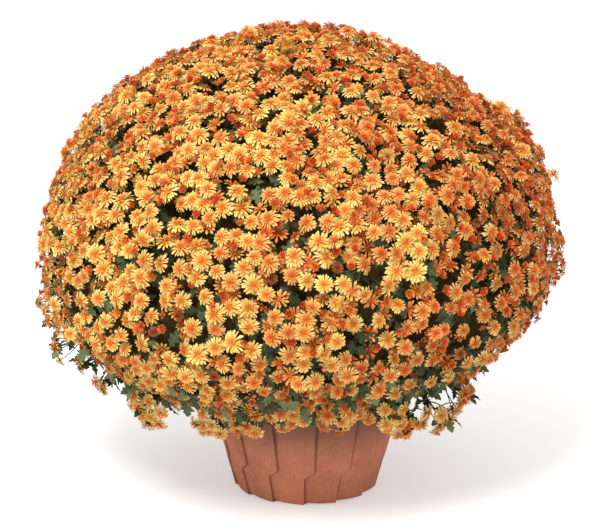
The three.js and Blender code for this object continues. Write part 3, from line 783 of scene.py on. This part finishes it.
def mottling_group():
    """Uneven colour: slow blotches and fine specks, each with its own strength."""
    tree, nodes, given, out = new_group(
        "mottling",
        ["Vector", "Colour", "Blotch Colour", "Blotch Scale", "Blotch Share", "Speck Scale",
         "Speck Strength"],
        ["Colour", "Mask", "Height"],
    )
    blotch = nodes.noise(given["Vector"], given["Blotch Scale"], 4.0, 0.6)
    mask = nodes.times(nodes.minus(blotch, 0.38), 3.6)
    mask = nodes.times(mask, given["Blotch Share"], clamp=True)
    specks = nodes.noise(given["Vector"], given["Speck Scale"], 2.0, 0.7)
    centred = nodes.times(nodes.minus(specks, 0.5), given["Speck Strength"])
    brightness = nodes.plus(nodes.times(centred, 2.0), 1.0)
    colour = nodes.mix(mask, given["Colour"], given["Blotch Colour"])
    nodes.feed(out, {"Colour": nodes.scaled(colour, brightness), "Mask": mask, "Height": specks})
    return tree


def growth_group():
    """Reads the marks of petals and leaves: tone along, share across and shade, and streaks."""
    tree, nodes, given, out = new_group(
        "growth marks", ["Streak Count", "Streak Strength", "Shade Spread"],
        ["Tone", "Across", "Shade", "Brightness"],
    )
    mark = nodes.mark("growth")["Vector"]
    tone, across, shade = nodes.add("ShaderNodeSeparateXYZ", {0: mark})
    place = nodes.add("ShaderNodeCombineXYZ", {
        0: nodes.times(tone, 1.5), 1: nodes.times(across, given["Streak Count"]),
        2: nodes.times(shade, 97.0),
    })[0]
    streak = nodes.minus(nodes.noise(place, 1.0, 2.0, 0.55), 0.5)
    streaks = nodes.times(streak, given["Streak Strength"])
    seed = {"W": nodes.times(shade, 640.0)}
    chance = nodes.add("ShaderNodeTexWhiteNoise", seed, noise_dimensions="1D")["Value"]
    spread = nodes.times(nodes.minus(chance, 0.5), given["Shade Spread"])
    brightness = nodes.plus(nodes.plus(streaks, spread), 1.0)
    nodes.feed(out, {"Tone": tone, "Across": across, "Shade": shade, "Brightness": brightness})
    return tree


def new_material(name):
    """A material with one Principled shader, its nodes and that shader's inputs."""
    material = bpy.data.materials.new(name)
    material.use_nodes = True
    shader = material.node_tree.nodes["Principled BSDF"]
    return material, Nodes(material.node_tree), shader.inputs


def growing_material(name, growth, count, strength, spread):
    """A new material that reads the marks of petals and leaves."""
    material, nodes, shader = new_material(name)
    sources = {"Streak Count": count, "Streak Strength": strength, "Shade Spread": spread}
    return material, nodes, shader, nodes.add("ShaderNodeGroup", sources, node_tree=growth)


# ---- materials

RIPE_RAY = [  # disc, inner rays, straw-yellow tips
    (0.00, 218, 106, 48), (0.18, 225, 126, 56), (0.34, 231, 152, 68), (0.50, 237, 177, 74),
    (0.75, 244, 206, 108), (1.00, 251, 231, 158),
]
YOUNG_RAY = [
    (0.00, 186, 58, 34), (0.20, 206, 76, 38), (0.38, 217, 100, 46), (0.58, 224, 126, 58),
    (0.80, 231, 154, 80), (1.00, 238, 188, 118),
]
FADED_RAY = [(0.00, 78, 20, 18), (0.45, 100, 28, 24), (1.00, 124, 46, 34)]
CALYX = [(0.0, 104, 112, 52), (0.5, 72, 88, 40), (1.0, 58, 66, 34)]
BLADE = [(0.0, 46, 56, 30), (0.5, 74, 88, 52), (0.8, 106, 118, 78), (1.0, 142, 147, 106)]
VEIN = (124, 132, 86)


def petal_material(growth):
    material, nodes, shader, read = growing_material("bronze_ray_petals", growth, 5.0, 0.26, 0.14)
    ripe, young, faded = [nodes.ramp(read["Tone"], ray) for ray in (RIPE_RAY, YOUNG_RAY, FADED_RAY)]
    colour = nodes.mix(nodes.times(read["Shade"], 1.25, clamp=True), ripe, young)
    withered = nodes.times(nodes.minus(read["Shade"], 0.86), 14.0, clamp=True)
    colour = nodes.mix(withered, colour, faded)
    nodes.feed(shader, {
        "Base Color": nodes.scaled(colour, read["Brightness"]),
        "Roughness": nodes.times(read["Brightness"], 0.56), "Specular IOR Level": 0.15,
    })
    return material


def calyx_material(growth):
    material, nodes, shader, read = growing_material("green_calyx", growth, 6.0, 0.3, 0.2)
    colour = nodes.scaled(nodes.ramp(read["Tone"], CALYX), read["Brightness"])
    nodes.feed(shader, {"Base Color": colour, "Roughness": 0.6})
    return material


def leaf_material(growth):
    material, nodes, shader, read = growing_material("lobed_leaf", growth, 9.0, 0.5, 0.5)
    off_rib = nodes.math("ABSOLUTE", nodes.minus(read["Across"], 0.5))
    rib = nodes.minus(1.0, nodes.times(off_rib, 26.0), clamp=True)
    slant = nodes.minus(read["Tone"], nodes.times(off_rib, 0.62))
    branch = nodes.math("ABSOLUTE", nodes.math("SINE", nodes.times(slant, 21.0)))
    vein = nodes.minus(1.0, nodes.times(branch, 6.0), clamp=True)
    veins = nodes.math("MAXIMUM", rib, nodes.times(vein, 0.5))
    colour = nodes.scaled(nodes.ramp(read["Shade"], BLADE), read["Brightness"])
    nodes.feed(shader, {
        "Base Color": nodes.mix(nodes.times(veins, 0.45), colour, linear(*VEIN)),
        "Roughness": nodes.plus(nodes.times(veins, 0.12), 0.58), "Specular IOR Level": 0.25,
        "Normal": nodes.bump(nodes.minus(1.0, veins), 0.5, 0.0006),
    })
    return material


def mottled_material(name, mottling, colours, blotches, specks, rough, depth, shine=0.5, painted_shade=None):
    """A plain solid finish. blotches are scale and share, specks are scale and strength.

    The last argument is the colour of painted shade in the grooves, and of the plant's
    painted shadow towards the rim, where the mark named soil is high."""
    material, nodes, shader = new_material(name)
    made = nodes.add("ShaderNodeGroup", {
        "Vector": nodes.add("ShaderNodeTexCoord")["Object"],
        "Colour": linear(*colours[0]), "Blotch Colour": linear(*colours[1]),
        "Blotch Scale": blotches[0], "Blotch Share": blotches[1],
        "Speck Scale": specks[0], "Speck Strength": specks[1],
    }, node_tree=mottling)
    colour = made["Colour"]
    if painted_shade:
        # mixes in the painted shade where the mark named soil is high
        colour = nodes.mix(nodes.mark("soil")["Fac"], colour, linear(*painted_shade))
    nodes.feed(shader, {
        "Base Color": colour, "Specular IOR Level": shine,
        "Roughness": nodes.plus(nodes.times(made["Mask"], 0.10), rough),
        "Normal": nodes.bump(made["Height"], 0.6, depth),
    })
    return material


# ---- the flowers

def spray_directions():
    """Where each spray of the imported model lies, seen from the plant's centre."""
    boxes = [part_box(f"spray_{number:02d}") for number in range(1, len(SPRAY_ZONES) + 1)]
    middles = [(np.array(low) + np.array(high)) / 2 for low, high in boxes]
    return unit(np.array(middles) - CENTRE)


def bloom_facing(at, tilt):
    """Blooms look out of the cushion and a little up, each with its own tilt."""
    facing = dome_normals(at) + 0.18 * UP
    return unit(unit(facing) + draws.normal(0, tilt, at.shape))


def bloom_shades(at, spray, mean):
    """0 is a ripe straw-yellow bloom and 1 a brick-red one. Blooms turned from the sunny side are
    redder and darker, partly as later ripening and partly as painted shade.
    """
    orange = np.array(SPRAY_COLOURS)[spray] == "orange"
    # redder, darker blooms away from the sunny side: partly ripening, partly painted shade
    away = np.minimum(0.44 * (0.80 - at @ towards(SUNNY_AZIMUTH, SUNNY_ELEVATION)), 0.34)
    pale = 0.24 * smoothstep(-elevation_of(at), 0, 26)
    head = 0.17 * patchiness(at, 41, 12, 26)
    spread = draws.beta(1.0, 1.8, len(at)) - 0.36
    shades = mean + 0.06 * orange + away - pale + head + 0.66 * spread
    return np.clip(shades, 0.0, 0.84 + 0.04 * (mean > 0.7))


def crop_of(patterns, spray, origin, facing, scale, shade):
    """A crop of flowers: their patterns and sprays, and what places each copy."""
    strips = LEVELS - GREEN_LEVELS
    level = (np.floor(np.clip(shade, 0, 0.9999) * strips) + 0.5) / LEVELS
    form = draws.integers(0, len(patterns), len(origin))
    return patterns, spray, (form, origin, facing_frames(facing), scale, level)


def grown_flowers(heads):
    """The crops of all the flowers, from the open blooms to those on the side shoots."""
    random = np.random.default_rng(31)
    forms = [
        [open_bloom(random, random.uniform(*RIPENESS)) for _ in range(OPEN_FORMS)],
        [young_bloom(random, opening) for opening in YOUNG_OPENINGS],
        [bud(random, fatness) for fatness in BUD_FATNESS],
        [late_bloom(random) for _ in range(LATE_FORMS)],
    ]
    sprays, nothing = spray_directions(), np.empty((0, 3))
    open_at, open_places = scattered(OPEN, nothing)
    young_at, young_places = scattered(YOUNG, open_places)
    bud_at, _ = scattered(BUD, np.concatenate([open_places, young_places]))
    late_at, _ = scattered(LATE, nothing)

    crops = []
    kinds, all_at = (OPEN, YOUNG, BUD, LATE), (open_at, young_at, bud_at, late_at)
    for kind, patterns, at in zip(kinds, forms, all_at):
        spray = (at @ sprays.T).argmax(1)
        sunk = draws.uniform(*kind.depth, len(at)) + skirt_sink(at) + spray_relief(at)
        facing = bloom_facing(at, kind.tilt)
        scale = kind.radius * draws.uniform(0.80, 1.07, len(at)) * (1 - 0.20 * low_side(at))
        shade = bloom_shades(at, spray, kind.shade)
        if kind is OPEN:
            scale *= 1.07 - 0.26 * shade
            withered = draws.uniform(size=len(at)) < WITHERED_SHARE
            shade = np.where(withered, 0.97, shade)
            scale = np.where(withered, 0.68 * scale, scale)
        crops.append(crop_of(patterns, spray, under_dome(at, sunk), facing, scale, shade))

    origin, facing, scale, _ = heads
    forms = [open_bloom(random, random.uniform(*RIPENESS), stalk=0) for _ in range(SHOOT_FORMS)]
    aim = unit(origin - CENTRE)
    spray = (aim @ sprays.T).argmax(1)
    shade = bloom_shades(aim, spray, 0.30)
    return crops + [crop_of(forms, spray, origin, facing, scale, shade)]


def make_flowers(petals, calyx, heads):
    zones = {}
    for index, zone in enumerate(zip(SPRAY_ZONES, SPRAY_COLOURS)):
        zones.setdefault(zone, []).append(index)
    crops = grown_flowers(heads)
    for (zone, colour), sprays in zones.items():
        bunch = Bunch(bloom_map)
        for patterns, spray, copies in crops:
            mine = np.isin(spray, sprays)
            bunch.place_forms(patterns, *[values[mine] for values in copies])
        made = bunch.piece(f"blooms_{zone}_{colour}", [petals, calyx])
        dress(made, [f"spray_{index + 1:02d}" for index in sprays])


# ---- side shoots

def shoot_tips():
    """Directions, reaches and numbers of blooms of all the side shoots."""
    random = np.random.default_rng(91)
    turns = np.linspace(0, 174, BACK_SHOOTS) + random.uniform(-4, 4, BACK_SHOOTS)
    back = towards(turns, random.uniform(-38, -26, BACK_SHOOTS))
    front = np.array(SHOOTS)
    at = np.concatenate([towards(front[:, 0], front[:, 1]), back])
    reach = np.concatenate([front[:, 2], dome_radius(back) + 0.004])
    return at, reach, [*front[:, 3].astype(int), *random.integers(*BACK_BLOOMS, BACK_SHOOTS)]


def shoot_heads():
    """Blooms in a loose head on each side shoot: their places, facings, sizes and shoots."""
    tips, reach, counts = shoot_tips()
    step = np.concatenate([np.arange(count) for count in counts])
    at, reach = np.repeat(tips, counts, axis=0), np.repeat(reach, counts)
    level, climb = tangents(at)
    turns = 2.4 * step + np.repeat(draws.uniform(0, 6, len(tips)), counts)
    spread = 0.0118 * np.sqrt(step + 0.2) * draws.uniform(0.8, 1.2, len(at))
    offsets = (spread * np.cos(turns))[:, None] * level + (spread * np.sin(turns))[:, None] * climb
    sunk = draws.uniform(0, 0.008, len(at)) + 8.0 * spread ** 2
    origin = CENTRE + at * (reach - sunk)[:, None] + offsets
    facing = unit(at + 17 * offsets + draws.normal(0, 0.20, origin.shape))
    scale = OPEN.radius * draws.uniform(0.80, 1.10, len(origin))
    return origin, facing, scale, np.repeat(np.arange(len(tips)), counts)


def shoot_paths():
    """Each side shoot from inside the cushion to just under its flower head."""
    at, reach, _ = shoot_tips()
    start = towards(np.degrees(np.arctan2(at[:, 1], at[:, 0])), elevation_of(at) + 10)
    start = CENTRE + start * (reach - 0.105)[:, None]
    knee = CENTRE + at * (reach - 0.070)[:, None] - 0.004 * UP
    end = CENTRE + at * (reach - 0.012)[:, None]
    return [curve(*ends, 7) for ends in zip(start, knee, end)]


def make_shoots(material, heads):
    paths = shoot_paths()
    parts = [tube(path, np.linspace(0.0024, 0.0014, len(path)), 6) for path in paths]
    for place, facing, size, shoot in zip(*heads):
        cup, fork = place - 0.24 * size * facing, paths[shoot][draws.integers(3, 6)]
        knee = cup - 0.45 * np.linalg.norm(cup - fork) * facing
        parts.append(tube(curve(cup, knee, fork, 5), np.linspace(0.0008, 0.0011, 5), 3))
    solid_piece("side_shoots", merged(parts), material, "foliage")


# ---- leaves, core and stems

def leaf_frames(outward, pointing, wander):
    return facing_frames(unit(outward + draws.normal(0, wander, outward.shape)), pointing)


def random_tangent(at, droop):
    level, climb = tangents(at)
    turn = draws.uniform(0, TURN, len(at))[:, None]
    return unit(np.cos(turn) * level + np.sin(turn) * climb - droop * UP)


def scatter(bunch, forms, origin, frames, sizes, shades, back=0.0):
    """Leaves within ranges of size and shade, set back along themselves by a share."""
    length = LEAF_LENGTH * draws.uniform(*sizes, len(origin))
    tiles = np.floor(draws.uniform(*shades, len(origin)) * LEAF_SHADES)
    level = (np.clip(tiles, 0, LEAF_SHADES - 1) + 0.5) / LEAF_SHADES
    form = draws.integers(0, len(forms), len(origin))
    origin = origin - back * length[:, None] * frames[:, :, 0]
    bunch.place_forms(forms, form, origin, frames, length, level)


def dome_leaves(bunch, forms):
    for count, depth in DOME_LEAVES:
        at = anywhere(-24, count)
        scarce = 0.34 * smoothstep(elevation_of(at), -4, 26)
        at = at[draws.uniform(size=count) > scarce]
        sunk = draws.uniform(*depth, len(at)) + 0.5 * skirt_sink(at)
        frames = leaf_frames(at, random_tangent(at, 0.1) + 0.10 * at, 0.30)
        scatter(bunch, forms, under_dome(at, sunk), frames, (0.5, 0.9), (0.05, 0.8))


def skirt_leaves(bunch, forms):
    turns = draws.uniform(0, 360, SKIRT_LEAVES)
    at = towards(turns, draws.uniform(SKIRT_EDGE, -12, SKIRT_LEAVES))
    at = at[elevation_of(at) > skirt_edge(at) + 1]
    sunk = draws.uniform(0.014, 0.052, len(at)) + 0.7 * skirt_sink(at)
    pointing = at * 0.5 + random_tangent(at, 0.45)
    frames = leaf_frames(unit(at + 0.35 * UP), pointing, 0.42)
    scatter(bunch, forms, under_dome(at, sunk), frames, (0.5, 0.9), (0.35, 1.0))
    for path in shoot_paths():
        origin = path[draws.integers(3, 7, LEAVES_ON_SHOOT)]
        along = unit(path[-1] - path[0])
        sideways = unit(np.cross(along, draws.normal(size=(LEAVES_ON_SHOOT, 3))))
        frames = leaf_frames(unit(sideways * 0.3 + UP), sideways + 0.6 * along, 0.35)
        scatter(bunch, forms, origin, frames, (0.45, 0.8), (0.2, 1.0))


def gap_leaves(bunch, forms):
    """Leaves in the gaps between the heads."""
    at = np.repeat(gap_middles()[0], LEAVES_IN_GAP, axis=0)
    at = unit(at + draws.normal(0, 0.030, at.shape))
    sunk = draws.uniform(0.016, 0.034, len(at)) + 0.9 * skirt_sink(at)
    frames = leaf_frames(at, random_tangent(at, 0.1), 0.40)
    scatter(bunch, forms, under_dome(at, sunk), frames, (0.55, 0.85), (0.0, 0.7), back=0.5)


def make_leaves(material, crops):
    random = np.random.default_rng(53)
    forms = [leaf(random, random.uniform(0.05, 0.30)) for _ in range(LEAF_FORMS)]
    for name, grow in crops:
        bunch = Bunch(leaf_map)
        grow(bunch, forms)
        dress(bunch.piece(name, [material]), ["foliage"])


def make_core(material):
    """The dim inside of the cushion, where leaf, twig and old bloom shut the light out."""
    random = np.random.default_rng(3)
    turns = np.arange(CORE_COLUMNS) * 360 / CORE_COLUMNS
    under = ((0.150, 0.226), (0.182, 0.204))  # radius and height of its lowest rings
    rows = [level_ring(np.radians(turns), *ends) for ends in under]
    for elevation in np.linspace(-40, 87, CORE_ROWS):
        at = towards(turns, np.full(CORE_COLUMNS, elevation))
        depth = CORE_DEPTH + 0.65 * skirt_sink(at) + random.normal(0, 0.0035, CORE_COLUMNS)
        rows.append(under_dome(at, depth))
    solid_piece("foliage_core", closed_rings(rows), material, "foliage")


def branch_path(index):
    angle = (index + 0.3) / BRANCHES * 2 * math.pi
    reach = 0.096 * (1.0 if index % 2 else 0.72)
    flat = np.array([math.cos(angle), math.sin(angle), 0])
    knee = flat * 0.014 + UP * 0.192
    return curve(flat * 0.003 + UP * 0.164, knee, flat * reach + UP * 0.268, 9)


def make_stems(material):
    heights = np.linspace(0.096, 0.186, 8)
    trunk = [(0.0012 * math.sin(90 * h), 0.0012 * math.cos(70 * h), h) for h in heights]
    parts = [tube(trunk, 0.0105 + 0.0012 * np.sin(heights * 160), 14)]
    for index in range(BRANCHES):
        parts.append(tube(branch_path(index), np.linspace(0.0046, 0.0030, 9), 10))
    solid_piece("crown_stems", merged(parts), material, "stems")


# ---- pot and potting mix

def groove_shift(height):
    return -JOG_ANGLE * (1 - smoothstep(height, JOG_BOTTOM, JOG_TOP))


def wall_radius(height):
    return POT_BASE_RADIUS + (POT_RIM_RADIUS - POT_BASE_RADIUS) * height / POT_HEIGHT


def stave_profile():
    """Shares across a stave and the relief there: a rounded groove, then a slanting face."""
    start = [share * GROOVE_SHARE for share in (0.0, 0.2, 0.4, 0.6, 0.8, 1.0, 1.35)]
    plain = np.linspace(1.8 * GROOVE_SHARE, 1 - 0.55 * GROOVE_SHARE, 8)
    ending = 1 - GROOVE_SHARE * np.array([0.42, 0.30, 0.20, 0.12, 0.05])
    shares = np.concatenate([start, plain, ending])
    known = [0, 0.25 * GROOVE_SHARE, 0.8 * GROOVE_SHARE, 1.35 * GROOVE_SHARE, 0.5,
             1 - 0.45 * GROOVE_SHARE, 1 - 0.2 * GROOVE_SHARE, 1 - 0.05 * GROOVE_SHARE, 1]
    relief = [-GROOVE_DEPTH, -GROOVE_DEPTH, -1.25 * STAVE_RELIEF, -STAVE_RELIEF,
              0.3 * STAVE_RELIEF, STAVE_RELIEF, 0.85 * STAVE_RELIEF, -0.3 * STAVE_RELIEF,
              -GROOVE_DEPTH]
    return shares, np.interp(shares, known, relief)


def outside_rows():
    """Rows up the outside of the pot: height, how far out, and share of the relief."""
    lip_foot = POT_HEIGHT - LIP_DEPTH
    foot = [(0.0, -0.0050, 0.15), (0.0002, -0.0030, 0.5), (0.0008, -0.0012, 0.85),
            (0.0022, 0.0, 1.0)]
    bands = ((0.006, JOG_BOTTOM - 0.004, 4), (JOG_BOTTOM, JOG_TOP, 11),
             (JOG_TOP + 0.006, lip_foot - 0.012, 6))
    wall = [(height, 0.0, 1.0) for band in bands for height in np.linspace(*band)]
    lip = [(lip_foot - 0.006, 0.0004, 0.8), (lip_foot - 0.002, 0.0016, 0.4),
           (lip_foot, 0.0038, 0.1), (lip_foot + 0.001, LIP_OUT, 0.0),
           (POT_HEIGHT - 0.003, LIP_OUT, 0.0), (POT_HEIGHT - 0.001, LIP_OUT - 0.0008, 0.0),
           (POT_HEIGHT, LIP_OUT - 0.0030, 0.0)]
    return foot + wall + lip


def painted_shade_marks(outside, shares, heights):
    """Painted shade on the outside at each point: in the grooves, and more towards the rim."""
    after, before = shares / GROOVE_SHARE, (1 - shares) / GROOVE_SHARE
    groove = np.maximum(np.clip(0.60 - after / 1.6, 0, 1), np.clip(0.45 - before / 0.5, 0, 1))
    # the rise towards the rim is a painted shadow of the plant above
    marks = np.tile(groove, len(outside)) + 0.85 * smoothstep(heights, 0.070, 0.145)
    strengths = np.repeat([strength for _, _, strength in outside], len(shares))
    return marks * np.clip(strengths, 0, 1)


def make_pot(material):
    shares, relief = stave_profile()
    angles = ((np.arange(STAVES)[:, None] + shares[None]) * (360 / STAVES)).ravel()
    shares, relief = np.tile(shares, STAVES), np.tile(relief, STAVES)
    plain, outside = np.radians(angles + GROOVE_TURN), outside_rows()
    rows = [level_ring(plain, radius, height) for radius, height in RECESS]
    first = len(rows) * len(angles)
    for height, outward, strength in outside:
        turns = np.radians(angles + GROOVE_TURN + groove_shift(height))
        slant = FOOT_SLANT * (1 - shares) * (1 - smoothstep(height, 0.0, 0.03))
        radius = wall_radius(height) + outward + relief * strength
        rows.append(level_ring(turns, radius, height + slant))
    last = len(rows) * len(angles)
    rows += [level_ring(plain, wall_radius(height) + offset, height) for height, offset in CAVITY]
    points, faces = closed_rings(rows)
    made = solid_piece("stave_pot", (points, faces), material, "pot")
    # the mark named soil holds painted shade for the grooves and a painted shadow towards the rim
    soil = np.zeros(len(points))
    soil[first:last] = painted_shade_marks(outside, shares, points[first:last, 2])
    made.data.attributes.new("soil", "FLOAT", "POINT").data.foreach_set("value", soil)
    drill_drains(made)
    made.data.set_sharp_from_angle(angle=math.radians(42))


def drill_drains(made):
    """Round drain holes through the floor of the pot."""
    parts = []
    for hole in range(DRAINS):
        angle = TURN * (hole + 0.5) / DRAINS
        x, y = DRAIN_CIRCLE * math.cos(angle), DRAIN_CIRCLE * math.sin(angle)
        path = [(x, y, height) for height in (-0.004, 0.002, 0.009)]
        parts.append(tube(path, [DRAIN_RADIUS] * len(path), 20))
    drill = mesh_piece("drill", *merged(parts), [])
    cut = made.modifiers.new("drains", "BOOLEAN")
    cut.object, cut.operation, cut.solver = drill, "DIFFERENCE", "EXACT"
    seen = made.evaluated_get(bpy.context.evaluated_depsgraph_get())
    solid = bpy.data.meshes.new_from_object(seen)
    made.modifiers.clear()
    made.data = solid
    bpy.data.objects.remove(drill)


def make_soil(material):
    random = np.random.default_rng(17)
    turns = TURN * np.arange(SOIL_COLUMNS) / SOIL_COLUMNS
    gap = POT_WALL + GROOVE_DEPTH + 0.0008
    heights = (0.0046, 0.06, 0.12, SOIL_TOP - 0.002)
    rows = [level_ring(turns, wall_radius(height) - gap, height) for height in heights]
    for share in np.linspace(0.985, 0.10, 26):
        height = SOIL_TOP + SOIL_RISE * (1 - share ** 2) + random.normal(0, 0.0011, SOIL_COLUMNS)
        rows.append(level_ring(turns, (wall_radius(SOIL_TOP) - gap) * share, height))
    solid_piece("potting_mix", closed_rings(rows), material, "soil", smooth=False)


# ---- the whole scene

def make_stage():
    material, nodes, shader = new_material("pale_floor")
    seen = nodes.add("ShaderNodeLightPath")["Is Camera Ray"]
    nodes.feed(shader, {
        "Base Color": (0.86, 0.86, 0.86, 1), "Emission Color": (1.0, 1.0, 1.0, 1),
        "Emission Strength": nodes.times(seen, 0.4), "Roughness": 0.9, "Specular IOR Level": 0.1,
    })
    half = FLOOR_HALF
    points = [(-half, -half, 0), (half, -half, 0), (half, half, 0), (-half, half, 0)]
    floor = mesh_piece("floor", points, [(0, 1, 2), (0, 2, 3)], [material])


def turn_towards(place, aim):
    """The turn that points a lamp or camera at its aim."""
    return (Vector(aim) - Vector(place)).to_track_quat("-Z", "Y")


def make_light():
    data = bpy.data.lights.new("key", "AREA")
    data.shape, data.size, data.energy = "DISK", KEY_SIZE, KEY_POWER
    light = bpy.data.objects.new("key", data)
    light.location = KEY_PLACE
    light.rotation_euler = turn_towards(KEY_PLACE, KEY_AIM).to_euler()
    bpy.context.scene.collection.objects.link(light)


def make_world():
    world = bpy.data.worlds.new("soft studio")
    world.use_nodes = True
    background = world.node_tree.nodes["Background"].inputs
    background["Color"].default_value = (1.0, 1.0, 1.0, 1)
    background["Strength"].default_value = WORLD_STRENGTH
    bpy.context.scene.world = world


def make_camera():
    data = bpy.data.cameras.new("camera")
    data.lens, data.sensor_width = CAMERA_LENS, CAMERA_SENSOR
    camera = bpy.data.objects.new("camera", data)
    turn = turn_towards(CAMERA_PLACE, CAMERA_AIM).to_matrix().to_4x4()
    camera.matrix_world = Matrix.Translation(CAMERA_PLACE) @ turn
    bpy.context.scene.collection.objects.link(camera)
    bpy.context.scene.camera = camera


def main():
    growth, mottling = growth_group(), mottling_group()
    petals, calyx, leaves = petal_material(growth), calyx_material(growth), leaf_material(growth)
    # the plastic's last colour is painted shade for its grooves and for the band under the plant
    plastic = mottled_material(
        "terracotta_plastic", mottling, ((214, 133, 98), (192, 113, 82)), (20.0, 0.9),
        (330.0, 0.36), 0.60, 0.00016, painted_shade=(108, 60, 45))
    mix = mottled_material(
        "potting_mix", mottling, ((62, 44, 32), (34, 25, 19)), (90.0, 1.0), (700.0, 0.9), 0.9,
        0.0015)
    bark = mottled_material(
        "green_brown_bark", mottling, ((96, 92, 52), (84, 66, 44)), (60.0, 0.9), (500.0, 0.4),
        0.7, 0.0004)
    inside = mottled_material(
        "dim_foliage", mottling, ((84, 64, 34), (46, 44, 24)), (50.0, 1.0), (180.0, 0.9),
        0.85, 0.004, shine=0.05)
    make_pot(plastic)
    make_soil(mix)
    make_stems(bark)
    make_core(inside)
    make_leaves(leaves, [("leaves_dome", dome_leaves), ("leaves_skirt", skirt_leaves)])
    heads = shoot_heads()
    make_shoots(bark, heads)
    make_flowers(petals, calyx, heads)
    make_leaves(leaves, [("leaves_gaps", gap_leaves)])
    make_stage()
    make_light()
    make_world()
    make_camera()
    view = bpy.context.scene.view_settings
    view.view_transform, view.look = "Standard", "None"
    bpy.context.view_layer.update()


main()
